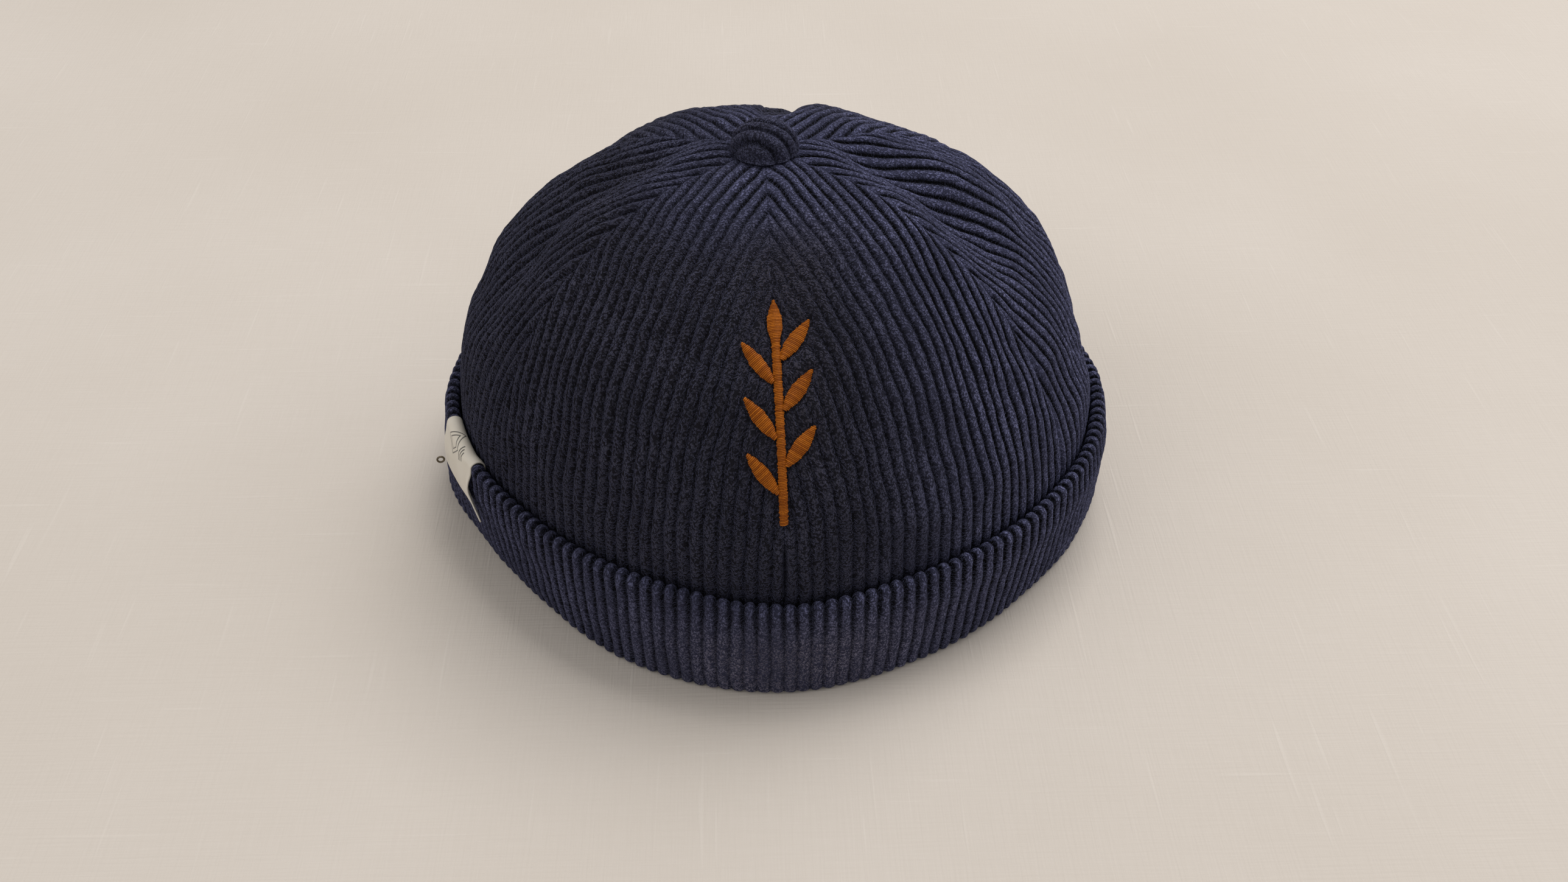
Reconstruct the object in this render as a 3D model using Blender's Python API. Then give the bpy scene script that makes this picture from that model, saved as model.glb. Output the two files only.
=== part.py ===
"""A brimless corduroy cap: six sewn crown panels, a turned-up cuff, a covered button, a ribbon
label with a small metal loop, and an embroidered sprig on the front seam.

Lengths are in metres. +Z is up, the front seam faces -Y, and the cap stands on z = 0 with the
origin under its middle. Azimuth is in degrees from the front seam, growing towards +X.
"""

import bisect
import math

import bmesh
import bpy
from mathutils import Vector
from mathutils.geometry import tessellate_polygon

# Cap
CUFF_RADIUS = 0.0950
CUFF_HEIGHT = 0.0350
CUFF_WALL = 0.0027
CUFF_GAP = 0.0017
CUFF_BULGE = 0.0009
FOLD_THICKNESS = 0.0045
FOLD_ROUNDING = 0.0014
BAND_HEIGHT = 0.0140
CROWN_HEIGHT = 0.1142
RIM_DEPTH = 0.0010
CLOTH = 0.0020
SEAM_GAP = 0.0003
APEX_SHIFT = -0.0030
DIMPLE_DEPTH = 0.0018
DIMPLE_RADIUS = 0.0130
PANEL_NAMES = (
    "panel_front_right",
    "panel_side_right",
    "panel_back_right",
    "panel_back_left",
    "panel_side_left",
    "panel_front_left",
)

# Button
BUTTON_DIAMETER = 0.0184
BUTTON_HEIGHT = 0.0076
BUTTON_BACK_SHARE = 0.90
BUTTON_EDGE_SHARE = 0.20
STUD_DIAMETER = 0.0044
STUD_END = 0.0010
STUD_CLEARANCE = 0.0004
SEAT_GAP = 0.0003

# Label and its metal loop
LABEL_LENGTH = 0.0280
LABEL_DROP = 0.0150
LABEL_THICKNESS = 0.0006
LABEL_CLEARANCE = 0.0004
LABEL_STANDOFF = 0.0012
LABEL_SKEW_SHARE = 0.20
LABEL_AZIMUTH = -71.3
LOOP_DIAMETER = 0.0026
LOOP_WIRE = 0.0006
LOOP_RISE = 0.0030
LOOP_INSET = 0.0032

# Embroidery
SPRIG_HEIGHT = 0.0580
SPRIG_START = 0.0225
SPRIG_STEM = 0.0022
SPRIG_LEAF_LENGTH = 0.0125
SPRIG_LEAF_WIDTH = 0.0040
SPRIG_THICKNESS = 0.0010
SPRIG_CLEARANCE = 0.0005
SPRIG_LEAF_ANGLE = 38.0

# Each material's colour, its roughness and how metallic it is
MATERIALS = {
    "corduroy": ((0.024, 0.026, 0.048), 0.95, 0.0),
    "ribbon": ((0.60, 0.53, 0.44), 0.55, 0.0),
    "wire": ((0.10, 0.085, 0.06), 0.35, 0.9),
    "thread": ((0.20, 0.062, 0.012), 0.60, 0.0),
}

# Fineness of the facets
PANEL_COLUMNS = 10
FOLD_STEPS = 48
SEAM_STEPS = 400
DOME_STEPS = 5
LABEL_DROP_ROWS = 4
CROWN_ROWS = 18
WALL_ROWS = 2
CUFF_STEPS = 96
BUTTON_STEPS = 24
LABEL_COLUMNS = 8
LOOP_STEPS = 24
LOOP_SIDES = 8
SPRIG_ROW = 0.0050
SMOOTH_UP_TO_DEGREES = 40.0

# The outline from above, row by row round the cap. cuff and crown are shares of CUFF_RADIUS.
# foot is how far the cuff's foot stands out past its top, and ridge how far the crease below
# the rolled edge stands out, both as shares of CUFF_HEIGHT.
PLAN_COLUMNS = ("azimuth", "cuff", "crown", "foot", "ridge")
PLAN = (
    (-180, 0.999, 0.979, -0.02, 0.00),
    (-150, 0.973, 0.984, 0.00, 0.00),
    (-120, 1.002, 1.004, 0.05, 0.00),
    (-90, 1.034, 1.028, 0.12, 0.00),
    (-70, 1.008, 1.012, -0.07, 0.01),
    (-50, 0.980, 0.988, -0.10, 0.01),
    (-25, 0.985, 0.987, -0.02, 0.00),
    (0, 1.002, 1.006, -0.02, 0.00),
    (25, 0.986, 0.992, -0.06, 0.01),
    (50, 0.996, 0.973, -0.08, 0.02),
    (70, 1.024, 0.989, -0.02, 0.03),
    (90, 1.033, 1.025, 0.09, 0.02),
    (120, 0.990, 1.034, 0.00, 0.00),
    (150, 0.980, 0.994, -0.02, 0.00),
)

# Folds and bulges of the crown. Each runs from start through middle to end, given as azimuth
# and rise (0 at the rim, 1 at the apex). depth is a share of CROWN_HEIGHT, outwards when above
# zero, and width a share of CUFF_RADIUS.
FOLD_COLUMNS = ("start", "middle", "end", "depth", "width")
FOLDS = (
    ((112, 0.90), (82, 0.68), (78, 0.42), -0.043, 0.084),
    ((66, 0.84), (56, 0.64), (57, 0.42), 0.008, 0.060),
    ((104, 0.74), (95, 0.60), (92, 0.46), 0.018, 0.080),
    ((108, 0.62), (106, 0.44), (96, 0.33), 0.020, 0.110),
    ((92, 0.22), (89, 0.16), (86, 0.11), -0.016, 0.110),
    ((-62, 0.82), (-62, 0.58), (-58, 0.36), 0.008, 0.070),
    ((-112, 0.88), (-86, 0.62), (-78, 0.30), -0.032, 0.080),
    ((-108, 0.60), (-104, 0.42), (-96, 0.26), 0.012, 0.090),
    ((-124, 0.62), (-127, 0.54), (-122, 0.44), -0.010, 0.080),
    ((-146, 0.72), (-147, 0.62), (-145, 0.52), 0.008, 0.080),
    ((175, 0.80), (172, 0.68), (171, 0.54), -0.036, 0.060),
    ((148, 0.74), (149, 0.64), (150, 0.54), 0.006, 0.080),
    ((0, 0.76), (0, 0.60), (0, 0.46), -0.012, 0.090),
    ((-34, 0.80), (-34, 0.55), (-34, 0.30), 0.008, 0.140),
    ((34, 0.80), (34, 0.55), (34, 0.30), 0.008, 0.140),
)

# Leaves of the sprig: the side each is on, and where it starts as a share of SPRIG_HEIGHT.
LEAVES = ((-1, 0.12), (1, 0.24), (-1, 0.36), (1, 0.48), (-1, 0.60), (1, 0.70))
STEM_TOP_SHARE = 0.80

CROWN_INSET = CUFF_WALL + CUFF_GAP
RIM_HEIGHT = CUFF_HEIGHT - RIM_DEPTH
LOOP_AZIMUTH = LABEL_AZIMUTH - math.degrees((LABEL_LENGTH / 2 - LOOP_INSET) / CUFF_RADIUS)
PANEL_ANGLE = 360.0 / len(PANEL_NAMES)
WALL_BOTTOM = BAND_HEIGHT + SEAT_GAP
# The height, as a share of the crown's rise above the rim, at which its own plan takes over.
CROWN_PLAN_SHARE = 0.5
# The rise above the rim, as a share of the way to the apex, over which the folds grow to
# their full depth.
RIM_FADE_SHARE = 0.12
# How strong a fold is at its ends, and how soon along it that grows to the full strength.
FOLD_END_SHARE = 0.25
FOLD_GROWTH = 2.5
# Where the cuff's crease lies and how far it spreads, as shares of CUFF_HEIGHT.
CREASE_SHARE = 0.74
CREASE_SPREAD_SHARE = 0.14
# Heights at which the cuff's outer face has an edge, as shares of CUFF_HEIGHT.
CUFF_EDGES = (0.16, 0.32, 0.50, 0.64, 0.74, 0.84, 0.92)
# How far a rounded edge has turned at its middle, as a share of its radius.
HALF_TURN = math.sin(math.radians(45))
# Leaves from root to tip: places along them and half-widths there, as shares of the whole
# length and of SPRIG_LEAF_WIDTH's half. The bud is the leaf at the stem's end.
LEAF_SHAPE = ((0.30, 0.90), (0.55, 1.00), (0.80, 0.62))
BUD_SHAPE = ((0.30, 0.90), (0.55, 1.00), (0.80, 0.55))
# How far along the stem a leaf's root reaches, as a share of SPRIG_STEM.
LEAF_ROOT_SHARE = 1.2
# Where the ribbon's corners lie as it turns over the cuff's top edge.
LABEL_TURN_DEGREES = (180, 150, 120, 90, 60, 30)
# A small step along the surface, in degrees and in rise, for working out which way it faces.
SLOPE_DEGREES = 0.5
SLOPE_RISE = 0.004
# Points closer together than this are one point.
MERGE_DISTANCE = 0.000001


def plan_share(name, azimuth):
    """Reads one column of PLAN at any azimuth, on a smooth closed curve through its rows."""
    column = PLAN_COLUMNS.index(name)
    count = len(PLAN)
    azimuth = (azimuth + 180.0) % 360.0 - 180.0
    after = next((i for i, row in enumerate(PLAN) if row[0] > azimuth), count)

    def row(index):
        turn, place = divmod(index, count)
        return PLAN[place][0] + 360.0 * turn, PLAN[place][column]

    (a0, v0), (a1, v1), (a2, v2), (a3, v3) = (row(after + step) for step in (-2, -1, 0, 1))
    span = a2 - a1
    t = (azimuth - a1) / span
    slope_in = (v2 - v0) / (a2 - a0) * span
    slope_out = (v3 - v1) / (a3 - a1) * span
    return (
        (2 * t**3 - 3 * t**2 + 1) * v1
        + (t**3 - 2 * t**2 + t) * slope_in
        + (3 * t**2 - 2 * t**3) * v2
        + (t**3 - t**2) * slope_out
    )


def smooth_step(value):
    value = min(max(value, 0.0), 1.0)
    return value * value * (3.0 - 2.0 * value)


def at(azimuth, radius, z):
    angle = math.radians(azimuth)
    return Vector((radius * math.sin(angle), -radius * math.cos(angle), z))


def foot_reach(azimuth, z):
    """How far the cuff's foot carries the wall outwards at a height."""
    return plan_share("foot", azimuth) * CUFF_HEIGHT * max(0.0, 1.0 - z / CUFF_HEIGHT)


def cuff_face(azimuth, z):
    """Radius of the cuff's outer face at a height."""
    share = min(max(z / CUFF_HEIGHT, 0.0), 1.0)
    crease = math.exp(-(((share - CREASE_SHARE) / CREASE_SPREAD_SHARE) ** 2))
    ridge = plan_share("ridge", azimuth) * CUFF_HEIGHT * crease
    bulge = CUFF_BULGE * math.sin(math.pi * share)
    return CUFF_RADIUS * plan_share("cuff", azimuth) + foot_reach(azimuth, z) + bulge + ridge


def smooth_crown(azimuth, rise):
    """The cap's outer face without its folds. Below the rim, rise is from -1 to 0."""
    cuff_plan = plan_share("cuff", azimuth)
    if rise < 0:
        z = RIM_HEIGHT + rise * (RIM_HEIGHT - WALL_BOTTOM)
        return at(azimuth, CUFF_RADIUS * cuff_plan - CROWN_INSET + foot_reach(azimuth, z), z)
    angle = rise * math.pi / 2
    lift = math.sin(angle)
    own = smooth_step(lift / CROWN_PLAN_SHARE)
    share = cuff_plan * (1.0 - own) + plan_share("crown", azimuth) * own
    radius = (CUFF_RADIUS * share - CROWN_INSET) * math.cos(angle)
    dimple = DIMPLE_DEPTH * math.exp(-((radius / DIMPLE_RADIUS) ** 2))
    z = RIM_HEIGHT + (CROWN_HEIGHT - RIM_HEIGHT) * lift - dimple
    return at(azimuth, radius, z) + Vector((APEX_SHIFT * lift * lift, 0.0, 0.0))


def facing(surface, azimuth, rise):
    """The way a surface faces, outwards, from its slopes along and up."""
    along = surface(azimuth + SLOPE_DEGREES, rise) - surface(azimuth - SLOPE_DEGREES, rise)
    up = surface(azimuth, rise + SLOPE_RISE) - surface(azimuth, rise - SLOPE_RISE)
    return along.cross(up).normalized()


def fold_path(fold):
    """Points of the smooth crown along a fold's curve, with how strong the fold is at each."""
    (a0, r0), (a1, r1), (a2, r2) = fold[:3]
    points = []
    for step in range(FOLD_STEPS + 1):
        t = step / FOLD_STEPS
        azimuth = a0 * (1 - t) ** 2 + (2 * a1 - (a0 + a2) / 2) * 2 * t * (1 - t) + a2 * t**2
        rise = r0 * (1 - t) ** 2 + (2 * r1 - (r0 + r2) / 2) * 2 * t * (1 - t) + r2 * t**2
        strength = smooth_step(FOLD_END_SHARE + FOLD_GROWTH * min(t, 1 - t))
        points.append((smooth_crown(azimuth, rise), strength))
    return points


FOLD_PATHS = [fold_path(fold) for fold in FOLDS]


def fold_reach(point):
    """How far the folds move a point of the smooth crown outwards."""
    total = 0.0
    for fold, path in zip(FOLDS, FOLD_PATHS):
        depth = fold[FOLD_COLUMNS.index("depth")] * CROWN_HEIGHT
        width = fold[FOLD_COLUMNS.index("width")] * CUFF_RADIUS
        reach = max(
            strength * math.exp(-(((point - place).length / width) ** 2)) for place, strength in path
        )
        total += depth * reach
    return total


def crown(azimuth, rise):
    """The cap's outer face with its folds, which fade out at the rim and under the button."""
    point = smooth_crown(azimuth, rise)
    if rise <= 0:
        return point
    apex_gap = math.hypot(point.x - APEX_SHIFT, point.y) - BUTTON_DIAMETER / 2
    fade = smooth_step(rise / RIM_FADE_SHARE) * smooth_step(apex_gap / BUTTON_DIAMETER)
    return point + facing(smooth_crown, azimuth, rise) * fold_reach(point) * fade


def new_object(name, mesh_data, kind):
    """Turns a bmesh into a named object with a material of its own, of a kind in MATERIALS."""
    colour, roughness, metallic = MATERIALS[kind]
    bmesh.ops.recalc_face_normals(mesh_data, faces=mesh_data.faces)
    mesh = bpy.data.meshes.new(name)
    mesh_data.to_mesh(mesh)
    mesh_data.free()
    mesh.shade_smooth()
    mesh.set_sharp_from_angle(angle=math.radians(SMOOTH_UP_TO_DEGREES))
    material = bpy.data.materials.new(name)
    material.use_nodes = True
    shader = material.node_tree.nodes["Principled BSDF"]
    shader.inputs["Base Color"].default_value = (*colour, 1.0)
    shader.inputs["Roughness"].default_value = roughness
    shader.inputs["Metallic"].default_value = metallic
    mesh.materials.append(material)
    obj = bpy.data.objects.new(name, mesh)
    bpy.context.scene.collection.objects.link(obj)
    return obj


def sheet_solid(outer, inner):
    """A closed wall between two grids of points, given as rows of the same size."""
    shell = bmesh.new()
    faces = [[[shell.verts.new(p) for p in row] for row in grid] for grid in (outer, inner)]
    rows, columns = len(outer), len(outer[0])
    for grid in faces:
        for i in range(rows - 1):
            for j in range(columns - 1):
                shell.faces.new((grid[i][j], grid[i][j + 1], grid[i + 1][j + 1], grid[i + 1][j]))
    rim = [(0, j) for j in range(columns)]
    rim += [(i, columns - 1) for i in range(1, rows)]
    rim += [(rows - 1, j) for j in range(columns - 2, -1, -1)]
    rim += [(i, 0) for i in range(rows - 2, 0, -1)]
    front, back = faces
    for (i, j), (k, m) in zip(rim, rim[1:] + rim[:1]):
        shell.faces.new((front[i][j], front[k][m], back[k][m], back[i][j]))
    return shell


def ring_solid(sections):
    """A closed ring through sections that are themselves closed loops of points."""
    ring = bmesh.new()
    loops = [[ring.verts.new(p) for p in section] for section in sections]
    for loop, following in zip(loops, loops[1:] + loops[:1]):
        for k in range(len(loop)):
            m = (k + 1) % len(loop)
            ring.faces.new((loop[k], loop[m], following[m], following[k]))
    return ring


def panel(name, first_azimuth):
    """One crown panel, from the top of the inner band to the hole for the button's stud."""
    hole = STUD_DIAMETER / 2 + STUD_CLEARANCE
    top = math.acos(hole / (CUFF_RADIUS - CROWN_INSET)) * 2 / math.pi
    rises = [-1 + i / WALL_ROWS for i in range(WALL_ROWS)]
    rises += [top * i / CROWN_ROWS for i in range(CROWN_ROWS + 1)]
    outer, inner = [], []
    for rise in rises:
        middle = smooth_crown(first_azimuth + PANEL_ANGLE / 2, rise)
        radius = math.hypot(middle.x - APEX_SHIFT * max(rise, 0.0) ** 2, middle.y)
        trim = math.degrees(SEAM_GAP / 2 / radius)
        azimuths = [
            first_azimuth + trim + (PANEL_ANGLE - 2 * trim) * j / PANEL_COLUMNS
            for j in range(PANEL_COLUMNS + 1)
        ]
        outer.append([crown(azimuth, rise) for azimuth in azimuths])
        inner.append([inner_crown(azimuth, rise) for azimuth in azimuths])
    return new_object(name, sheet_solid(outer, inner), "corduroy")


def inner_crown(azimuth, rise):
    """The cap's inner face, level with the inner band at the wall's lower edge."""
    if rise <= -1:
        point = smooth_crown(azimuth, rise)
        return at(azimuth, math.hypot(point.x, point.y) - CLOTH, point.z)
    return crown(azimuth, rise) - facing(crown, azimuth, rise) * CLOTH


def cuff():
    """The cuff's wall with its rounded top, the flat fold under it and the inner band."""
    half = CUFF_WALL / 2
    sections = []
    for step in range(CUFF_STEPS):
        azimuth = 360.0 * step / CUFF_STEPS
        top = CUFF_RADIUS * plan_share("cuff", azimuth)
        foot = cuff_face(azimuth, 0.0)

        def body(inset, z):
            return top - inset + foot_reach(azimuth, z), z

        profile = [(foot - FOLD_ROUNDING, 0.0), (cuff_face(azimuth, FOLD_ROUNDING), FOLD_ROUNDING)]
        profile += [
            (cuff_face(azimuth, share * CUFF_HEIGHT), share * CUFF_HEIGHT) for share in CUFF_EDGES
        ]
        profile += [
            (top - half * (1 - HALF_TURN), CUFF_HEIGHT - half * (1 - HALF_TURN)),
            (top - half, CUFF_HEIGHT),
            (top - half * (1 + HALF_TURN), CUFF_HEIGHT - half * (1 - HALF_TURN)),
            body(CUFF_WALL, CUFF_HEIGHT - CUFF_WALL),
            body(CUFF_WALL, (CUFF_HEIGHT + FOLD_THICKNESS) / 2),
            body(CUFF_WALL, FOLD_THICKNESS),
            body(CROWN_INSET, FOLD_THICKNESS),
            body(CROWN_INSET, BAND_HEIGHT),
            body(CROWN_INSET + CLOTH, BAND_HEIGHT),
            body(CROWN_INSET + CLOTH, FOLD_ROUNDING),
            (foot - CROWN_INSET - CLOTH + FOLD_ROUNDING, 0.0),
        ]
        sections.append([at(azimuth, radius, z) for radius, z in profile])
    return new_object("cuff", ring_solid(sections), "corduroy")


def button():
    """A domed button with a flat back, and a stud that passes through the crown's hole."""
    radius = BUTTON_DIAMETER / 2
    rim_rise = math.acos(radius / (CUFF_RADIUS - CROWN_INSET)) * 2 / math.pi
    azimuths = [360.0 * step / BUTTON_STEPS for step in range(BUTTON_STEPS)]
    seat = SEAT_GAP + max(crown(azimuth, rim_rise).z for azimuth in azimuths)
    stud = CROWN_HEIGHT - DIMPLE_DEPTH - CLOTH - STUD_END - seat
    profile = [(0.0, stud), (STUD_DIAMETER / 2, stud), (STUD_DIAMETER / 2, 0.0)]
    profile += [(radius * BUTTON_BACK_SHARE, 0.0), (radius, BUTTON_HEIGHT * BUTTON_EDGE_SHARE)]
    for step in range(1, DOME_STEPS):
        angle = math.pi / 2 * step / DOME_STEPS
        height = BUTTON_HEIGHT * (BUTTON_EDGE_SHARE + (1 - BUTTON_EDGE_SHARE) * math.sin(angle))
        profile.append((radius * math.cos(angle), height))
    profile.append((0.0, BUTTON_HEIGHT))
    turned = bmesh.new()
    middle = Vector((APEX_SHIFT, 0.0, seat))
    verts = [turned.verts.new(middle + Vector((r, 0.0, z))) for r, z in profile]
    edges = [turned.edges.new(pair) for pair in zip(verts, verts[1:])]
    bmesh.ops.spin(
        turned,
        geom=verts + edges,
        cent=middle,
        axis=(0, 0, 1),
        angle=2 * math.pi,
        steps=BUTTON_STEPS,
        use_merge=True,
    )
    bmesh.ops.remove_doubles(turned, verts=turned.verts, dist=MERGE_DISTANCE)
    return new_object("button", turned, "corduroy")


def label_path(azimuth):
    """The ribbon's inner face from between crown and cuff, over the top and down the outside."""
    top = CUFF_RADIUS * plan_share("cuff", azimuth)
    half = CUFF_WALL / 2
    reach = half + LABEL_CLEARANCE
    path = [(top - half - reach, CUFF_HEIGHT - CUFF_WALL)]
    for degrees in LABEL_TURN_DEGREES:
        angle = math.radians(degrees)
        radius = top - half + reach * math.cos(angle)
        path.append((radius, CUFF_HEIGHT - half + reach * math.sin(angle)))
    for step in range(1, LABEL_DROP_ROWS + 1):
        z = CUFF_HEIGHT - half - (LABEL_DROP - half) * step / LABEL_DROP_ROWS
        loose = smooth_step(2 * step / LABEL_DROP_ROWS)
        clearance = LABEL_CLEARANCE + (LABEL_STANDOFF - LABEL_CLEARANCE) * loose
        path.append((cuff_face(azimuth, z) + clearance, z))
    return path


def label_face(offset):
    """A grid of the ribbon's points, offset outwards from its inner face."""
    columns = []
    for column in range(LABEL_COLUMNS + 1):
        along = column / LABEL_COLUMNS - 0.5
        middle = LABEL_AZIMUTH + math.degrees(LABEL_LENGTH * along / CUFF_RADIUS)
        path = label_path(middle)
        points = []
        for k, (radius, z) in enumerate(path):
            before, after = path[max(k - 1, 0)], path[min(k + 1, len(path) - 1)]
            run, drop = after[0] - before[0], after[1] - before[1]
            length = math.hypot(run, drop)
            outside = k > len(path) - 1 - LABEL_DROP_ROWS
            dropped = (CUFF_HEIGHT - z) / LABEL_DROP if outside else 0.0
            skew = math.degrees(LABEL_SKEW_SHARE * LABEL_DROP * dropped / CUFF_RADIUS)
            radius -= offset * drop / length
            points.append(at(middle + skew, radius, z + offset * run / length))
        columns.append(points)
    return columns


def label():
    outer, inner = label_face(LABEL_THICKNESS), label_face(0.0)
    return new_object("label", sheet_solid(outer, inner), "ribbon")


def label_pin():
    """A wire loop that stands out from the ribbon a little above its lower edge."""
    z = CUFF_HEIGHT - LABEL_DROP + LOOP_RISE
    face = cuff_face(LOOP_AZIMUTH, z) + LABEL_STANDOFF + LABEL_THICKNESS
    radius = (LOOP_DIAMETER - LOOP_WIRE) / 2
    middle = face + SEAT_GAP * 2 + LOOP_DIAMETER / 2
    sections = []
    for step in range(LOOP_STEPS):
        turn = 2 * math.pi * step / LOOP_STEPS
        section = []
        for side in range(LOOP_SIDES):
            angle = 2 * math.pi * side / LOOP_SIDES
            reach = radius + LOOP_WIRE / 2 * math.cos(angle)
            point = at(LOOP_AZIMUTH, middle + reach * math.cos(turn), z + reach * math.sin(turn))
            sideways = at(LOOP_AZIMUTH + 90.0, LOOP_WIRE / 2 * math.sin(angle), 0.0)
            section.append(point + sideways)
        sections.append(section)
    return new_object("label_pin", ring_solid(sections), "wire")


def leaf_outline(side, start):
    """One leaf from its lower root to its upper root, in the sprig's flat frame."""
    angle = math.radians(SPRIG_LEAF_ANGLE)
    root_end = start + SPRIG_STEM * LEAF_ROOT_SHARE
    root = Vector((SPRIG_STEM / 2, (start + root_end) / 2))
    ahead = Vector((math.sin(angle), math.cos(angle)))
    out = Vector((math.cos(angle), -math.sin(angle)))
    half = SPRIG_LEAF_WIDTH / 2
    points = [Vector((SPRIG_STEM / 2, start))]
    points += [root + ahead * SPRIG_LEAF_LENGTH * along + out * half * w for along, w in LEAF_SHAPE]
    points.append(root + ahead * SPRIG_LEAF_LENGTH)
    points += [
        root + ahead * SPRIG_LEAF_LENGTH * along - out * half * w for along, w in reversed(LEAF_SHAPE)
    ]
    points.append(Vector((SPRIG_STEM / 2, root_end)))
    return [Vector((side * point.x, point.y)) for point in points]


def sprig_outline():
    """The sprig's outline, up its right side, round the top leaf and down its left side."""
    half = SPRIG_STEM / 2
    right = [Vector((half, 0.0))]
    left = [Vector((-half, 0.0))]
    for side, start in LEAVES:
        (right if side > 0 else left).extend(leaf_outline(side, start * SPRIG_HEIGHT))
    neck = STEM_TOP_SHARE * SPRIG_HEIGHT
    bud = SPRIG_HEIGHT - neck
    sides = [(half, neck)]
    sides += [(SPRIG_LEAF_WIDTH / 2 * width, neck + bud * along) for along, width in BUD_SHAPE]
    right += [Vector((width, height)) for width, height in sides]
    left += [Vector((-width, height)) for width, height in sides]
    return right + [Vector((0.0, SPRIG_HEIGHT))] + left[::-1]


def seam_lengths():
    """How far along the cloth each small step of rise on the front seam lies above the rim."""
    points = [smooth_crown(0.0, step / SEAM_STEPS) for step in range(SEAM_STEPS + 1)]
    lengths = [0.0]
    for before, point in zip(points, points[1:]):
        lengths.append(lengths[-1] + (point - before).length)
    return lengths


SEAM_LENGTHS = seam_lengths()


def rise_at(distance):
    """The rise on the front seam at a distance along the cloth above the rim."""
    step = min(max(bisect.bisect_left(SEAM_LENGTHS, distance), 1), SEAM_STEPS)
    before, after = SEAM_LENGTHS[step - 1 : step + 1]
    return (step - 1 + (distance - before) / (after - before)) / SEAM_STEPS


def on_front(across, height, lift):
    """A point of the sprig's flat frame on the front of the crown, lifted off the cloth."""
    rise = rise_at(SPRIG_START + height)
    seam = smooth_crown(0.0, rise)
    azimuth = math.degrees(across / abs(seam.y))
    return crown(azimuth, rise) + facing(crown, azimuth, rise) * lift


def embroidery():
    """The sprig as a raised mass of stitches that follows the crown."""
    outline = sprig_outline()
    flat = bmesh.new()
    verts = [flat.verts.new((point.x, point.y, 0.0)) for point in outline]
    for triangle in tessellate_polygon([[point.to_3d() for point in outline]]):
        flat.faces.new([verts[k] for k in triangle])
    rows = math.ceil(SPRIG_HEIGHT / SPRIG_ROW)
    for row in range(1, rows):
        cut = {"plane_co": (0, SPRIG_HEIGHT * row / rows, 0), "plane_no": (0, 1, 0)}
        geometry = flat.verts[:] + flat.edges[:] + flat.faces[:]
        bmesh.ops.bisect_plane(flat, geom=geometry, dist=MERGE_DISTANCE, **cut)
    bmesh.ops.triangulate(flat, faces=flat.faces)
    solid = bmesh.new()
    lower, upper = {}, {}
    for vert in flat.verts:
        place = vert.co
        lower[vert] = solid.verts.new(on_front(place.x, place.y, SPRIG_CLEARANCE))
        upper[vert] = solid.verts.new(on_front(place.x, place.y, SPRIG_CLEARANCE + SPRIG_THICKNESS))
    for face in flat.faces:
        solid.faces.new([upper[vert] for vert in face.verts])
        solid.faces.new([lower[vert] for vert in reversed(face.verts)])
    for edge in flat.edges:
        if edge.is_boundary:
            a, b = edge.verts
            solid.faces.new((lower[a], lower[b], upper[b], upper[a]))
    flat.free()
    return new_object("embroidery", solid, "thread")


def build():
    for obj in list(bpy.data.objects):
        bpy.data.objects.remove(obj, do_unlink=True)
    for index, name in enumerate(PANEL_NAMES):
        panel(name, PANEL_ANGLE * index)
    cuff()
    button()
    label()
    label_pin()
    embroidery()


build()
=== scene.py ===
import math
import bmesh
import bpy
import numpy as np
from mathutils import Matrix, Vector


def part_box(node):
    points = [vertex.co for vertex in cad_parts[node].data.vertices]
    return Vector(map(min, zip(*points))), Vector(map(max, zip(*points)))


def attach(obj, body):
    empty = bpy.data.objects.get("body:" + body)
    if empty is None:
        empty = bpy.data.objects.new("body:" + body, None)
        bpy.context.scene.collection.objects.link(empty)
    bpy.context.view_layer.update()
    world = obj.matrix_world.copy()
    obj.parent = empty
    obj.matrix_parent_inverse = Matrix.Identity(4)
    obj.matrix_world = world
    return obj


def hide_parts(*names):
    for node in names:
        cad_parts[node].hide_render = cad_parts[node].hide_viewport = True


# Looks for the corduroy cap: six ribbed crown panels, a turned-up cuff, a covered button, a
# ribbon label with a wire loop, and a satin-stitched sprig on the front seam. Lengths are in
# metres. Azimuth is in degrees from the front seam, growing towards +X, as in the source. Rise
# is 0 at the crown's rim, 1 at its apex and -1 at the foot of its hidden wall.

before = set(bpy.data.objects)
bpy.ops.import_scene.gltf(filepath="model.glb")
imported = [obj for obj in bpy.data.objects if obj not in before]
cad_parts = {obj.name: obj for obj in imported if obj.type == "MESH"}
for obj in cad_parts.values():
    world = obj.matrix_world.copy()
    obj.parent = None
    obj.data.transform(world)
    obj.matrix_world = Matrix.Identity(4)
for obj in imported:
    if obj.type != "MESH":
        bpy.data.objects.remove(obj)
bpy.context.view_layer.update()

# Sizes read from the frame. The cuff's mean radius is a share of its depth. The apex's height
# is a share of the panels' because the dimple under the button lowers them.
RADIUS_SHARE = 0.4968
APEX_SHARE = 1.0126
PANEL_NAMES = (
    "panel_front_right",
    "panel_side_right",
    "panel_back_right",
    "panel_back_left",
    "panel_side_left",
    "panel_front_left",
)
CUFF_LOW, CUFF_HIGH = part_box("cuff")
BUTTON_LOW, BUTTON_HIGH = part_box("button")
LABEL_LOW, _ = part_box("label")
PANEL_BOXES = [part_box(name) for name in PANEL_NAMES]
CUFF_HEIGHT = CUFF_HIGH.z
CUFF_RADIUS = (CUFF_HIGH.y - CUFF_LOW.y) * RADIUS_SHARE
WALL_BOTTOM = min(low.z for low, _ in PANEL_BOXES)
CROWN_HEIGHT = max(high.z for _, high in PANEL_BOXES) * APEX_SHARE
BUTTON_DIAMETER = BUTTON_HIGH.y - BUTTON_LOW.y
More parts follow.
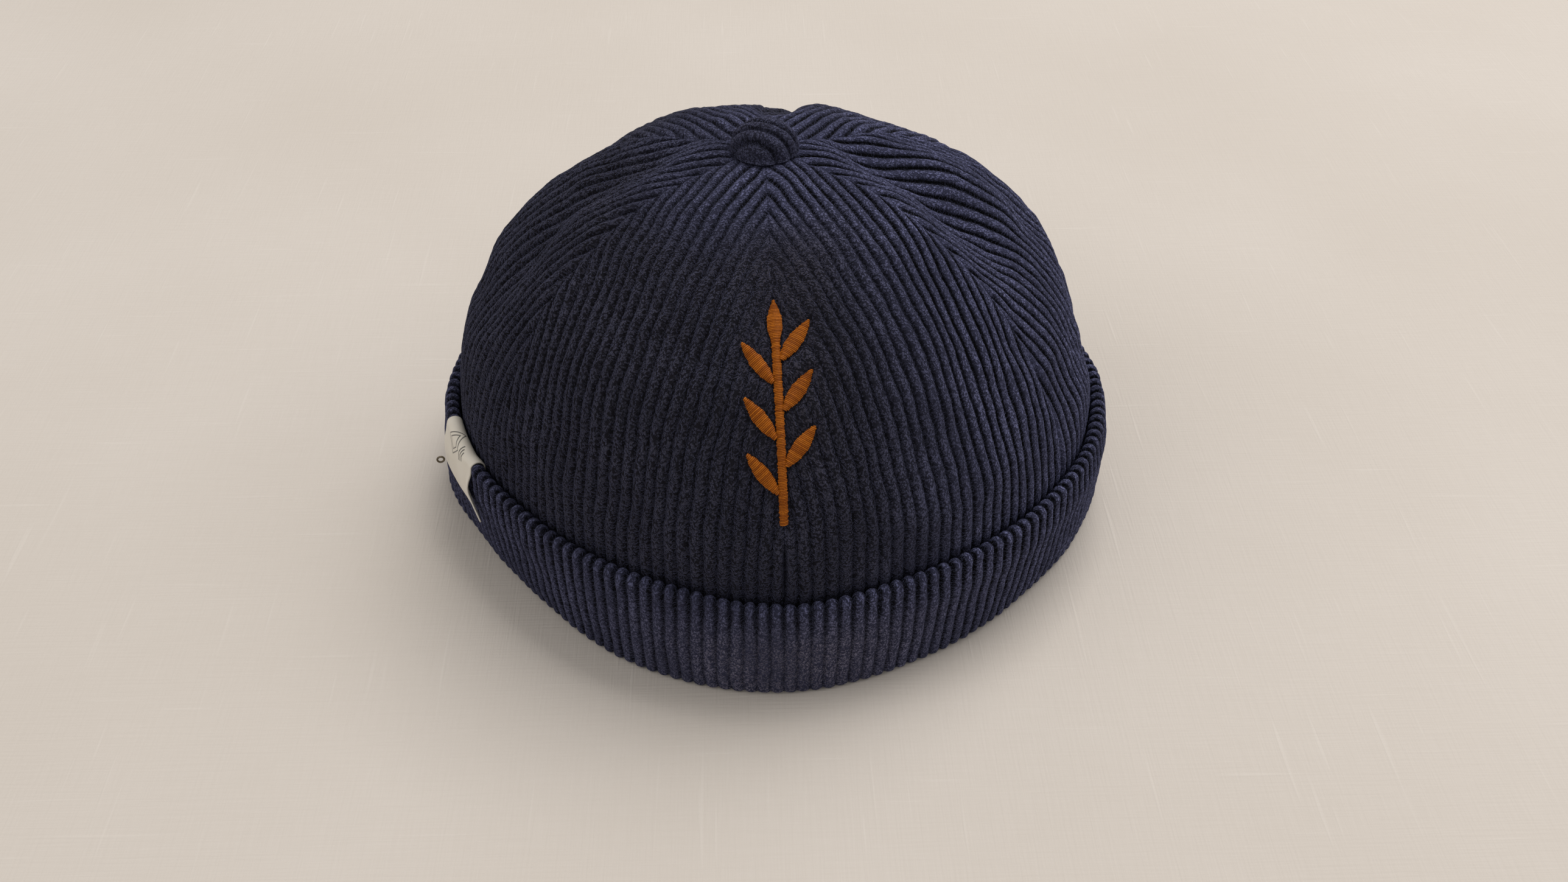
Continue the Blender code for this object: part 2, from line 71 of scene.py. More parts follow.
BUTTON_X = (BUTTON_LOW.x + BUTTON_HIGH.x) / 2
LABEL_DROP = CUFF_HEIGHT - LABEL_LOW.z

# Cloth and its layers, and how far round each panel runs
PANEL_TURN = 60.0
CLOTH = 0.0020
CUFF_WALL = 0.0027
CUFF_GAP = 0.0017
CUFF_BULGE = 0.0009
FOLD_THICKNESS = 0.0045
FOLD_ROUNDING = 0.0014
BAND_HEIGHT = 0.0140
RIM_DEPTH = 0.0010
DIMPLE_DEPTH = 0.0018
DIMPLE_RADIUS = 0.0130
PUFF_HEIGHT = 0.0006
PUFF_RADIUS = 0.021
PUFF_SPREAD = 0.009
CROWN_INSET = CUFF_WALL + CUFF_GAP
RIM_HEIGHT = CUFF_HEIGHT - RIM_DEPTH
CROWN_PLAN_AT = 0.5
CREASE_AT = 0.74
CREASE_SPREAD = 0.14

# Corduroy: how many ribs, how high and round they are, and how they narrow up the crown
CUFF_RIBS = 166
PANEL_RIBS = 26
RIB_HEIGHT = 0.00115
RIB_SINK = 0.70
RIB_ROUNDNESS = 2.2
RIB_SHOULDER = 0.85
RIB_SQUEEZE = 0.05
SQUEEZED_AT = 0.5
PILE = 0.00005

# How each cloth lies: how far its ribs wander and it undulates, and the seed of its noises
PANEL_LIE = {"Wander": 0.0008, "Undulation": 0.0010, "Seed": 3.0}
CUFF_LIE = {"Wander": 0.0005, "Undulation": 0.0004, "Seed": 5.0}
BUTTON_LIE = {"Wander": 0.0, "Undulation": 0.0, "Seed": 9.0}

# Scales of the noises that make ribs uneven, tuft the pile and undulate the cloth, and scale
# and share of those that let the ribs drift sideways
UNEVEN_SCALE = 160.0
UNEVEN_SHARE = 0.16
TUFT_SCALE = 750.0
WAVE_SCALE = 50.0
DRIFTS = ((45.0, 1.0), (170.0, 0.25))

# Seams: how far they sink, how much more at their foot and up to which rise, and the gap
# between two panels. Ribs are low where they run into a seam, and full at a short distance.
SEAM_DEPTH = 0.00035
SEAM_SPREAD = 0.0009
SEAM_FADE = 0.3
SEAM_FOOT = 1.6
SEAM_FOOT_RISE = 0.14
SEAM_GAP = 0.00006
EDGE_RAISE = 0.45
EDGE_REACH = 0.0012

# The slit at the foot of the front seam, and between which rises it lies
SLIT_DEPTH = 0.0013
SLIT_SPREAD = 0.00035
SLIT_FOOT = 0.03
SLIT_TOP = 0.15
SLIT_FADE = 0.06

# Behind the cuff there are no ribs this far below the rim, and full ones after the fade
HIDDEN_RISE = 0.5
HIDDEN_FADE = 0.4

# How far above the rim and from a seam the cloth lies loose
LOOSE_RISE = 0.15
LOOSE_EDGE = 0.004

# Stitches press the cloth in, as far as PRESS_REACH beside them, and there they flatten its
# ribs, hold its waves and lay its pile. Only every third point of a line is looked at.
PRESS_DEPTH = 0.0006
PRESS_REACH = 0.0016
PRESS_FLATTENS = 0.8
PRESS_HOLDS = 0.7
PRESS_LAYS = 0.6
PRESS_EVERY = 3

# Wear along the front seam: half its width, from where to where it runs up, and how much
# lower the ribs and how much less light the pile is there
WEAR_WIDTH = 0.019
WEAR_FOOT = 0.20
WEAR_GROWTH = 0.20
WEAR_TOP = 0.82
WEAR_FADE = 0.15
WEAR_SHARE = 0.48
WEAR_NAP = 0.6

# Painted light on the pile, kept with its nap: from where to the right and from how high up the
# pile is painted lighter, over which spans, and how much painted light it gets over the top, at the
# left and how much more further right
PAINTED_LIGHT_SIDE = 0.12
PAINTED_LIGHT_SIDE_SPAN = 0.80
PAINTED_LIGHT_TOP = 0.90
PAINTED_LIGHT_TOP_SPAN = 0.09
TOP_PAINTED_LIGHT = 0.5
TOP_PAINTED_LIGHT_GAIN = 0.4
TOP_PAINTED_LIGHT_SPAN = 0.8

# How finely the cloth is meshed
CUFF_RIB_COLUMNS = 8
PANEL_RIB_COLUMNS = 10
WALL_RISES = (-1.0, -0.55, -0.25, -0.10, -0.04)
PANEL_ROWS = 220
ARC_STEPS = 160
CUFF_ARC_STEPS = 720
SEAM_STEPS = 400
APEX_HOLE = 0.0026
INNER_COLUMNS = 17
INNER_STEP = 13
CUFF_ROWS = 38
FOOT_TURNS = (0.0, 22.5, 45.0, 67.5)
FOOT_FULL = 45.0
ROLL_TURNS = range(15, 181, 15)
BUTTON_ROWS = 72
FACING_TURN = 0.5
FACING_RISE = 0.004
MERGE_DISTANCE = 0.000002
SLIVER_LENGTH = 0.000001

# The cuff's rolled top, with fuller ribs as far over as ROLL_OVER degrees. ROLL_INSIDE says
# how high they are at depths below the roll, inside.
CUFF_ROLL = 0.0034
ROLL_RELIEF = 0.5
ROLL_OVER = 120
ROLL_TAPER = 0.009
ROLL_INSIDE = ((0.001, 0.9), (0.003, 0.7), (0.005, 0.4), (0.009, 0.0))
# How far from its foot and top the cuff's cloth lies loose, and how loose it is at its top
CUFF_FREE = 0.006
CUFF_FREE_TOP = 0.3

# The cuff's cloth is turned over, so its nap runs the other way; for that its pile is painted
# lighter all round, as painted light and sheen
CUFF_NAP_PAINTED_LIGHT = 0.68

# Where the cuff is rubbed at the front: how far round, and how much lower its ribs and
# lighter its pile are there
RUB_TURN = 24.0
RUB_SHARE = 0.45
RUB_NAP = 0.2

# How far the cuff's rolled edge dips at the front seam, and how far round
DIP_DEPTH = 0.0022
DIP_TURN = 13.0

# The button and its ribs. Its cloth faces away from a centre below its seat.
BUTTON_PITCH = 0.0040
BUTTON_PHASE = 0.28
BUTTON_TURN = 22.6
BUTTON_RIB_HEIGHT = RIB_HEIGHT * 1.25
BUTTON_ROUNDNESS = 2.3
BUTTON_CENTRE = 0.3
BUTTON_SINK = 0.0008
BUTTON_UNDER = 0.8
BUTTON_EDGE_RAISE = 0.5
BUTTON_EDGE_GROWTH = 5.0
# How much painted light the button's pile gets, as a share of the crown's
BUTTON_PAINTED_LIGHT = 0.45

# The outline from above, row by row round the cap. cuff and crown are shares of CUFF_RADIUS.
# foot is how far the cuff's foot stands out past its top, and ridge how far the crease below
# the rolled edge stands out, both as shares of CUFF_HEIGHT.
PLAN_COLUMNS = ("azimuth", "cuff", "crown", "foot", "ridge")
PLAN = (
    (-180, 0.999, 0.979, -0.02, 0.00),
    (-150, 0.973, 0.984, 0.00, 0.00),
    (-120, 1.002, 1.004, 0.05, 0.00),
    (-90, 1.034, 1.028, 0.12, 0.00),
    (-70, 1.008, 1.012, -0.07, 0.01),
    (-50, 0.980, 0.988, -0.10, 0.01),
    (-25, 0.985, 0.987, -0.02, 0.00),
    (0, 1.002, 1.006, -0.02, 0.00),
    (25, 0.986, 0.992, -0.06, 0.01),
    (50, 0.996, 0.973, -0.08, 0.02),
    (70, 1.024, 0.989, -0.02, 0.03),
    (90, 1.033, 1.025, 0.09, 0.02),
    (120, 0.990, 1.034, 0.00, 0.00),
    (150, 0.980, 0.994, -0.02, 0.00),
)

# Folds and bulges of the crown. Each runs from start through middle to end, given as azimuth
# and rise. depth is a share of CROWN_HEIGHT, outwards when above zero, and width a share of
# CUFF_RADIUS.
FOLD_COLUMNS = ("start", "middle", "end", "depth", "width")
FOLDS = (
    ((112, 0.90), (82, 0.68), (78, 0.42), -0.043, 0.084),
    ((66, 0.84), (56, 0.64), (57, 0.42), 0.008, 0.060),
    ((104, 0.74), (95, 0.60), (92, 0.46), 0.018, 0.080),
    ((108, 0.62), (106, 0.44), (96, 0.33), 0.020, 0.110),
    ((92, 0.22), (89, 0.16), (86, 0.11), -0.016, 0.110),
    ((-62, 0.82), (-62, 0.58), (-58, 0.36), 0.008, 0.070),
    ((-112, 0.88), (-86, 0.62), (-78, 0.30), -0.032, 0.080),
    ((-108, 0.60), (-104, 0.42), (-96, 0.26), 0.012, 0.090),
    ((-124, 0.62), (-127, 0.54), (-122, 0.44), -0.010, 0.080),
    ((-146, 0.72), (-147, 0.62), (-145, 0.52), 0.008, 0.080),
    ((175, 0.80), (172, 0.68), (171, 0.54), -0.036, 0.060),
    ((148, 0.74), (149, 0.64), (150, 0.54), 0.006, 0.080),
    ((0, 0.76), (0, 0.60), (0, 0.46), -0.012, 0.090),
    ((-34, 0.80), (-34, 0.55), (-34, 0.30), 0.008, 0.140),
    ((34, 0.80), (34, 0.55), (34, 0.30), 0.008, 0.140),
)

# How the folds are worked out: in how many steps, how far each reaches in widths, how strong
# it is at its ends, how fast it grows from there, and how far above the rim all are full
FOLD_STEPS = 48
FOLD_REACH = 3.0
FOLD_END = 0.25
FOLD_GROWTH = 2.5
RIM_FADE = 0.12

# The sprig: its leaves' sides and where they start, as shares of its height, and the widths
# of a leaf and of the bud on top at shares of their length
SPRIG_HEIGHT = 0.0580
SPRIG_START = 0.0225
SPRIG_STEM = 0.0022
LEAF_LENGTH = 0.0125
LEAF_WIDTH = 0.0040
LEAF_ANGLE = 38.0
LEAF_TUCK = 0.6
LEAVES = ((-1, 0.12), (1, 0.24), (-1, 0.36), (1, 0.48), (-1, 0.60), (1, 0.70))
LEAF_ENDS = (0.02, 0.99)
LEAF_SHARES = (0, 0.30, 0.55, 0.80, 1.0)
LEAF_SHAPE = (0.35, 0.9, 1.0, 0.62, 0.12)
BUD_SHAPE = (0.55, 0.9, 1.0, 0.55, 0.1)
STEM_TOP = 0.80
STEM_POINTS = 140
LEAF_POINTS = 34

# Stitches: the thread's radius and arch, its steps along and round, how far apart they lie,
# how ragged their ends are, how much they slant and how far their middles sink
THREAD_RADIUS = 0.00022
THREAD_ARCH = 0.00060
THREAD_STEPS = 6
STITCH_SPACING = 0.00042
STITCH_RAGGED = 0.00012
STITCH_SLANT = 0.00016
STITCH_SINK = 0.00010
STITCH_SEED = 11
SHADE_SEED = 4

# The label. Its flat length runs from its hidden end over the fold to its lower edge.
LABEL_LENGTH = 0.0280
LABEL_CLEARANCE = 0.0007
LABEL_STANDOFF = 0.0014
LABEL_THICKNESS = 0.0004
LABEL_AZIMUTH = -71.3
LABEL_COLUMNS = 65
LABEL_TURNS = 15
LABEL_LAST_TURN = 20
LABEL_ROWS = 24
# How far round the cap the ribbon's front edge stands from its straight cut, in metres, at
# shares of the way down: it is pulled back under the fold and its lower corner reaches out.
LABEL_EDGE = ((0.0, -0.0050), (0.30, -0.0052), (0.60, -0.0046), (0.80, -0.0010), (1.0, 0.0018))
PULL_FROM = 0.1
PULL_SPAN = 0.4
# How far its lower edge is pulled up, as a share of its drop, and where along it
LABEL_RISE = 0.09
RISE_AT = 0.20
RISE_SPREAD = 0.16
# How far its front edge curls off the cuff, and from where along it
LABEL_CURL = 0.0010
CURL_FROM = 0.36
CURL_SPAN = 0.14

# The ribbon's printed marks: where they are on it, their sizes, their lines' half-width and
# how dark the ink is
MARK_ACROSS = -0.0045
MARK_ALONG = 0.0072
MARK_SIZES = (0.0042, 0.0026)
MARK_LINE = 0.00026
MARK_STROKES = 3
MARK_GAP = 0.0011
MARK_INK = 0.9

# Colours. Pairs of the pile's are for nap 0 and nap 1; the second of each is the first made lighter
# and bluer, as painted light and painted sheen.
TIP_COLOURS_AND_PAINTED_LIGHT = ((0.056, 0.056, 0.084, 1.0), (0.165, 0.175, 0.326, 1.0))
FADED_COLOURS_AND_PAINTED_LIGHT = ((0.062, 0.057, 0.074, 1.0), (0.215, 0.195, 0.245, 1.0))
ROOT_COLOURS_AND_PAINTED_LIGHT = ((0.0085, 0.0083, 0.0126, 1.0), (0.030, 0.032, 0.062, 1.0))
# The grooves' colour is painted shade
GROOVE_PAINTED_SHADE = (0.0016, 0.0016, 0.0025, 1.0)
THREAD_COLOURS = ((0.270, 0.068, 0.0035, 1.0), (0.500, 0.152, 0.0100, 1.0))
THREAD_SHADOW = (0.110, 0.024, 0.002, 1.0)
RIBBON_COLOURS = ((0.66, 0.61, 0.52, 1.0), (0.76, 0.72, 0.64, 1.0))
INK_COLOUR = (0.060, 0.055, 0.050, 1.0)
WIRE_COLOURS = ((0.06, 0.05, 0.035, 1.0), (0.24, 0.20, 0.14, 1.0))
TABLE_COLOURS = ((0.57, 0.52, 0.465, 1.0), (0.66, 0.615, 0.57, 1.0))
TABLE_THREAD = (0.50, 0.45, 0.39, 1.0)
TABLE_SLUB = (0.78, 0.74, 0.69, 1.0)

# What each material's shader is set to, apart from its colour
CORDUROY_LOOK = {
    "Roughness": 0.95,
    "Specular IOR Level": 0.10,
    "Sheen Weight": 0.30,
    "Sheen Roughness": 0.25,
    "Sheen Tint": (0.38, 0.41, 0.74, 1.0),
}
THREAD_LOOK = {"Roughness": 0.5, "Specular IOR Level": 0.15}
RIBBON_LOOK = {"Roughness": 0.5, "Sheen Weight": 0.1}
WIRE_LOOK = {"Metallic": 0.9}
TABLE_LOOK = {"Roughness": 0.9}

# Bumps: how strong and how deep
CURL_BUMP = (1.0, 0.0006)
STRAND_BUMP = (0.5, 0.0001)
WEAVE_BUMP = (0.15, 0.00005)
LINEN_BUMP = (0.3, 0.0004)

# The ranges of a noise that most of it lies in, and all but a little
NOISE_MIDDLE = (0.35, 0.65)
NOISE_WIDE = (0.32, 0.68)

# The pile: how fine its curls are, where a tip gives way to a root, and how the curls stray
CURL_SCALE = 1900.0
CURL_EDGE = (0.33, 0.65)
CURL_STRETCH = (1.0, 0.75, 1.0)
STRAY_SCALE = 1500.0
STRAY_REACH = 0.0012
# Scales of its clumps and patches, and how light the darkest of them are
CLUMP_SCALE = 430.0
CLUMP_LIGHT = 0.82
PATCH_SCALE = 60.0
PATCH_LIGHT = 0.42
# Painted shade in the grooves: where it starts, how dark it is at nap 0, and from which nap it is
# full
GROOVE_EDGE = (0.06, 0.54)
GROOVE_SHOWN = 0.48
GROOVE_NAP = 0.8
# How much wear darkens the pile, fades its tips and lessens the painted shade in its grooves
WEAR_DARKENS = 0.10
WEAR_FADES = 0.85
WEAR_FILLS = 0.5

# Scales of the thread's strands, the ribbon's weave and soil, and the wire's wear, how dark
# the strands' shadows are, how uneven the weave is, and which wear gives which roughness
STRAND_SCALE = 3000.0
STRAND_SHADOW = 0.4
WEAVE_SCALE = 3300.0
WEAVE_DISTORTION = 0.3
SOIL_SCALE = 130.0
WIRE_SCALE = 1500.0
WIRE_ROUGHNESS = (0.2, 0.8, 0.28, 0.5)

# The table cloth: how far it reaches, how far below the cap it lies, the scales of its tones,
# threads and slubs, at which noise slubs start, how much both show and slubs rise, and how
# they are drawn out both ways
TABLE_REACH = 6.0
TABLE_DROP = 0.0002
TONE_SCALE = 6.0
LINEN_SCALE = 55.0
SLUB_SCALE = 20.0
SLUB_EDGE = (0.68, 0.76)
LINEN_SHOWN = 0.07
SLUB_SHOWN = 0.12
SLUB_HEIGHT = 0.4
LINEN_STRETCH = ((1.0, 26.0, 1.0), (26.0, 1.0, 1.0))

# Light: the world's, and area lights with place, target, size, watts and colour
WORLD_COLOUR = (1.0, 0.97, 0.94, 1.0)
WORLD_STRENGTH = 0.50
AREA_LIGHTS = {
    "window": ((0.80, 1.00, 2.50), (0, 0, 0.05), (1.8, 1.8), 50.0, (1.0, 0.97, 0.94)),
    "side": ((1.45, 0.1, 1.0), (0, 0, 0.07), (1.0, 0.8), 2.5, (1.0, 0.97, 0.95)),
    "fill": ((-1.30, -0.50, 1.30), (0, 0, 0.05), (1.2, 1.2), 4.0, (1.0, 0.97, 0.94)),
}

# The camera, with its lens and sensor in millimetres and its angles in degrees
CAMERA_DISTANCE = 0.484393
CAMERA_ELEVATION = 40.932
CAMERA_ROLL = 0.128
CAMERA_PAN = 0.335
CAMERA_TILT = 0.904
CAMERA_YAW = 1.650
CAMERA_LENS = 35.0
CAMERA_SENSOR = 36.0


def plan_share(name, azimuth):
    """Reads one column of PLAN at any azimuths, on a smooth closed curve through its rows."""
    column = PLAN_COLUMNS.index(name)
    turns = np.array([row[0] for row in PLAN], float)
    values = np.array([row[column] for row in PLAN], float)
    turns = np.concatenate([turns[-2:] - 360.0, turns, turns[:2] + 360.0])
    values = np.concatenate([values[-2:], values, values[:2]])
    azimuth = (np.asarray(azimuth, float) + 180.0) % 360.0 - 180.0
    after = np.searchsorted(turns, azimuth, side="right")
    (a0, a1, a2, a3), (v0, v1, v2, v3) = (
        [source[after + step] for step in (-2, -1, 0, 1)] for source in (turns, values)
    )
    span = a2 - a1
    t = (azimuth - a1) / span
    slope_in = (v2 - v0) / (a2 - a0) * span
    slope_out = (v3 - v1) / (a3 - a1) * span
    return (
        (2 * t**3 - 3 * t**2 + 1) * v1
        + (t**3 - 2 * t**2 + t) * slope_in
        + (3 * t**2 - 2 * t**3) * v2
        + (t**3 - t**2) * slope_out
    )


def smooth_step(value):
    """Rises smoothly from 0 to 1, and stays there."""
    value = np.clip(value, 0.0, 1.0)
    return value * value * (3.0 - 2.0 * value)


def bell(value, spread):
    """1 at 0, falling smoothly towards 0 on both sides."""
    return np.exp(-((value / spread) ** 2))


def run_lengths(points):
    """How far along a line of points each of them lies."""
    steps = np.linalg.norm(np.diff(points, axis=0), axis=1)
    return np.concatenate([[0.0], np.cumsum(steps)])


def row_lengths(points):
    """How far up its column each point of a grid lies."""
    steps = np.linalg.norm(points - np.roll(points, 1, axis=0), axis=2)
    steps[0] = 0
    return np.cumsum(steps, axis=0)


def at(azimuth, radius, z):
    """Points at azimuths, radii and heights."""
    angle = np.radians(azimuth)
    x, y, z = np.broadcast_arrays(radius * np.sin(angle), -radius * np.cos(angle), z)
    return np.stack([x, y, z], axis=-1)


def unit(vectors):
    """Vectors made 1 long."""
    return vectors / np.linalg.norm(vectors, axis=-1, keepdims=True)


def foot_reach(azimuth, z):
    """How far the cuff stands out at a height because of its foot."""
    return plan_share("foot", azimuth) * CUFF_HEIGHT * np.maximum(0.0, 1.0 - z / CUFF_HEIGHT)


def cuff_face(azimuth, z):
    """Radius of the cuff's outer face at a height."""
    share = np.clip(z / CUFF_HEIGHT, 0.0, 1.0)
    crease = bell(share - CREASE_AT, CREASE_SPREAD)
    ridge = plan_share("ridge", azimuth) * CUFF_HEIGHT * crease
    bulge = CUFF_BULGE * np.sin(np.pi * share)
    return CUFF_RADIUS * plan_share("cuff", azimuth) + foot_reach(azimuth, z) + bulge + ridge


def smooth_crown(azimuth, rise):
    """The crown's outer face without its folds."""
    azimuth, rise = np.broadcast_arrays(np.asarray(azimuth, float), np.asarray(rise, float))
    cuff_plan = plan_share("cuff", azimuth)
    low = RIM_HEIGHT + rise * (RIM_HEIGHT - WALL_BOTTOM)
    wall = at(azimuth, CUFF_RADIUS * cuff_plan - CROWN_INSET + foot_reach(azimuth, low), low)
    angle = np.maximum(rise, 0.0) * np.pi / 2
    lift = np.sin(angle)
    own = smooth_step(lift / CROWN_PLAN_AT)
    share = cuff_plan * (1.0 - own) + plan_share("crown", azimuth) * own
    radius = (CUFF_RADIUS * share - CROWN_INSET) * np.cos(angle)
    dimple = DIMPLE_DEPTH * bell(radius, DIMPLE_RADIUS)
    dome = at(azimuth, radius, RIM_HEIGHT + (CROWN_HEIGHT - RIM_HEIGHT) * lift - dimple)
    dome[..., 0] += BUTTON_X * lift * lift
    return np.where((rise < 0)[..., None], wall, dome)


def facing(surface, azimuth, rise):
    """The way a surface faces, outwards, from its slopes along and up."""
    along = surface(azimuth + FACING_TURN, rise) - surface(azimuth - FACING_TURN, rise)
    up = surface(azimuth, rise + FACING_RISE) - surface(azimuth, rise - FACING_RISE)
    return unit(np.cross(along, up))


def fold_path(fold):
    """Points of the smooth crown along a fold's curve, with how strong the fold is at each."""
    t = np.linspace(0.0, 1.0, FOLD_STEPS + 1)
    azimuth, rise = (
        v0 * (1 - t) ** 2 + (2 * v1 - (v0 + v2) / 2) * 2 * t * (1 - t) + v2 * t**2
        for v0, v1, v2 in zip(*fold[:3])
    )
    strength = smooth_step(FOLD_END + FOLD_GROWTH * np.minimum(t, 1 - t))
    return smooth_crown(azimuth, rise), strength


def fold_reach(points, folds):
    """How far the folds move points of the smooth crown outwards."""
    total = np.zeros(points.shape[:-1])
    for fold in folds:
        depth = fold[FOLD_COLUMNS.index("depth")] * CROWN_HEIGHT
        width = fold[FOLD_COLUMNS.index("width")] * CUFF_RADIUS
        places, strengths = fold_path(fold)
        middle = places.mean(axis=0)
        span = np.linalg.norm(places - middle, axis=1).max() + FOLD_REACH * width
        near = np.linalg.norm(points - middle, axis=-1) < span
        close = points[near]
        reach = np.zeros(len(close))
        for place, strength in zip(places, strengths):
            gap = ((close - place) ** 2).sum(axis=-1)
            reach = np.maximum(reach, strength * np.exp(-gap / width**2))
        total[near] += depth * reach
    return total


def crown(azimuth, rise):
    """The crown's outer face with its folds, which fade out at the rim and under the button."""
    point = smooth_crown(azimuth, rise)
    apex_gap = np.hypot(point[..., 0] - BUTTON_X, point[..., 1]) - BUTTON_DIAMETER / 2
    fade = smooth_step(np.asarray(rise) / RIM_FADE) * smooth_step(apex_gap / BUTTON_DIAMETER)
    reach = fold_reach(point, FOLDS) * fade
    gathered = bell(apex_gap + BUTTON_DIAMETER / 2 - PUFF_RADIUS, PUFF_SPREAD)
    reach = reach - PUFF_HEIGHT * gathered * np.cos(np.radians(azimuth) * len(PANEL_NAMES))
    return point + facing(smooth_crown, azimuth, rise) * reach[..., None]


# Node trees


def put(tree, kind, inputs=None, **settings):
    """Adds a node. Its inputs are values or the outputs of other nodes."""
    node = tree.nodes.new(kind)
    for key, value in settings.items():
        setattr(node, key, value)
    for key, value in (inputs or {}).items():
        if isinstance(value, bpy.types.NodeSocket):
            tree.links.new(value, node.inputs[key])
        else:
            node.inputs[key].default_value = value
    return node


def calc(tree, operation, *values):
    """The output of a Math node."""
    return put(tree, "ShaderNodeMath", dict(enumerate(values)), operation=operation).outputs[0]


def product(tree, first, *others):
    """Numbers multiplied one after another."""
    for value in others:
        first = calc(tree, "MULTIPLY", first, value)
    return first


def scaled(tree, vector, factor):
    """A vector times a number."""
    inputs = {"Vector": vector, "Scale": factor}
    return put(tree, "ShaderNodeVectorMath", inputs, operation="SCALE").outputs["Vector"]


def stretched(tree, vector, factors):
    """A vector times three factors, one for each axis."""
    inputs = {0: vector, 1: factors}
    return put(tree, "ShaderNodeVectorMath", inputs, operation="MULTIPLY").outputs["Vector"]


def summed(tree, *vectors):
    """Vectors added together."""
    total = vectors[0]
    for vector in vectors[1:]:
        node = put(tree, "ShaderNodeVectorMath", {0: total, 1: vector}, operation="ADD")
        total = node.outputs["Vector"]
    return total


def centred_noise(tree, position, scale, seed, detail=2.0):
    """A noise from about -1 to 1."""
    inputs = {"Vector": position, "W": seed, "Scale": scale, "Detail": detail}
    value = put(tree, "ShaderNodeTexNoise", inputs, noise_dimensions="4D").outputs[0]
    return calc(tree, "MULTIPLY_ADD", value, 4.0, -2.0)


def apart(tree, first, second):
    """How far two numbers lie apart."""
    return calc(tree, "ABSOLUTE", calc(tree, "SUBTRACT", first, second))


def named(tree, name, kind="FLOAT"):
    """A value kept on the points, for Geometry Nodes."""
    node = put(tree, "GeometryNodeInputNamedAttribute", {"Name": name}, data_type=kind)
    return node.outputs["Attribute"]


def stored(tree, geometry, name, value):
    """Geometry with a number kept on its points."""
    kind = "GeometryNodeStoreNamedAttribute"
    inputs = {"Geometry": geometry, "Name": name, "Value": value}
    return put(tree, kind, inputs, data_type="FLOAT", domain="POINT").outputs[0]


def new_tree(name, numbers, others):
    """A Geometry Nodes tree with inputs for its geometry, numbers and values of other kinds."""
    tree = bpy.data.node_groups.new(name, "GeometryNodeTree")
    kinds = {"Geometry": "Geometry", **dict.fromkeys(numbers, "Float"), **others}
    for key, kind in kinds.items():
        tree.interface.new_socket(key, in_out="INPUT", socket_type="NodeSocket" + kind)
    tree.interface.new_socket("Geometry", in_out="OUTPUT", socket_type="NodeSocketGeometry")
    return tree, tree.nodes.new("NodeGroupInput").outputs, tree.nodes.new("NodeGroupOutput").inputs


def end_tree(tree, geometry, material, result):
    """Ends a tree with real geometry in its material."""
    real = put(tree, "GeometryNodeRealizeInstances", {"Geometry": geometry})
    inputs = {"Geometry": real.outputs[0], "Material": material}
    dressed = put(tree, "GeometryNodeSetMaterial", inputs)
    tree.links.new(dressed.outputs[0], result["Geometry"])


def apply_tree(obj, tree, values):
    """Runs a tree on an object, with its inputs set, and keeps the result as a plain mesh."""
    modifier = obj.modifiers.new(tree.name, "NODES")
    modifier.node_group = tree
    for item in tree.interface.items_tree:
        if item.in_out == "INPUT" and item.name in values:
            modifier[item.identifier] = values[item.name]
    bpy.context.view_layer.update()
    graph = bpy.context.evaluated_depsgraph_get()
    made = bpy.data.meshes.new_from_object(
        obj.evaluated_get(graph), preserve_all_data_layers=True, depsgraph=graph
    )
    obj.modifiers.clear()
    obj.data = made
    made.name = obj.name


def rib_tree():
    """Raises tufted ribs with narrow grooves, and lets the cloth undulate and the ribs wander."""
    numbers = ("Rib Height", "Wander", "Undulation", "Pile", "Seed")
    tree, given, result = new_tree("corduroy_ribs", numbers, {"Material": "Material"})
    position = put(tree, "GeometryNodeInputPosition").outputs[0]
    out, side = named(tree, "out", "FLOAT_VECTOR"), named(tree, "side", "FLOAT_VECTOR")
    raised, loose = named(tree, "raise"), named(tree, "loose")
    place = calc(tree, "FRACT", named(tree, "rib"))
    from_top = calc(tree, "ABSOLUTE", calc(tree, "MULTIPLY_ADD", place, 2.0, -1.0))
    fullness = calc(tree, "SUBTRACT", 1.0, calc(tree, "POWER", from_top, RIB_ROUNDNESS))
    profile = calc(tree, "POWER", calc(tree, "MAXIMUM", fullness, 0.0), RIB_SHOULDER)
    uneven = centred_noise(tree, position, UNEVEN_SCALE, given["Seed"], 2.0)
    uneven = calc(tree, "MULTIPLY_ADD", uneven, UNEVEN_SHARE, 1.0)
    height = calc(tree, "SUBTRACT", product(tree, profile, uneven), RIB_SINK)
    height = product(tree, height, raised, given["Rib Height"])
    tufts = centred_noise(tree, position, TUFT_SCALE, given["Seed"], 1.0)
    tufts = product(tree, tufts, given["Pile"], named(tree, "pile"))
    waves = centred_noise(tree, position, WAVE_SCALE, given["Seed"], 1.5)
    waves = product(tree, waves, loose, given["Undulation"])
    offset = scaled(tree, out, calc(tree, "ADD", calc(tree, "ADD", height, waves), tufts))
    for scale, share in DRIFTS:
        seed = calc(tree, "ADD", given["Seed"], scale)
        drift = centred_noise(tree, position, scale, seed, 1.0)
        drift = product(tree, drift, loose, given["Wander"], share)
        offset = summed(tree, offset, scaled(tree, side, drift))
    inputs = {"Geometry": given["Geometry"], "Offset": offset}
    moved = put(tree, "GeometryNodeSetPosition", inputs).outputs[0]
    # How deep in a groove each point lies, for the painted shade in the grooves
    groove = product(tree, calc(tree, "SUBTRACT", 1.0, profile), raised)
    end_tree(tree, stored(tree, moved, "groove", groove), given["Material"], result)
    return tree


# Materials


def new_material(name):
    """A material with its node tree and its shader."""
    material = bpy.data.materials.new(name)
    material.use_nodes = True
    tree = material.node_tree
    return material, tree, tree.nodes["Principled BSDF"]


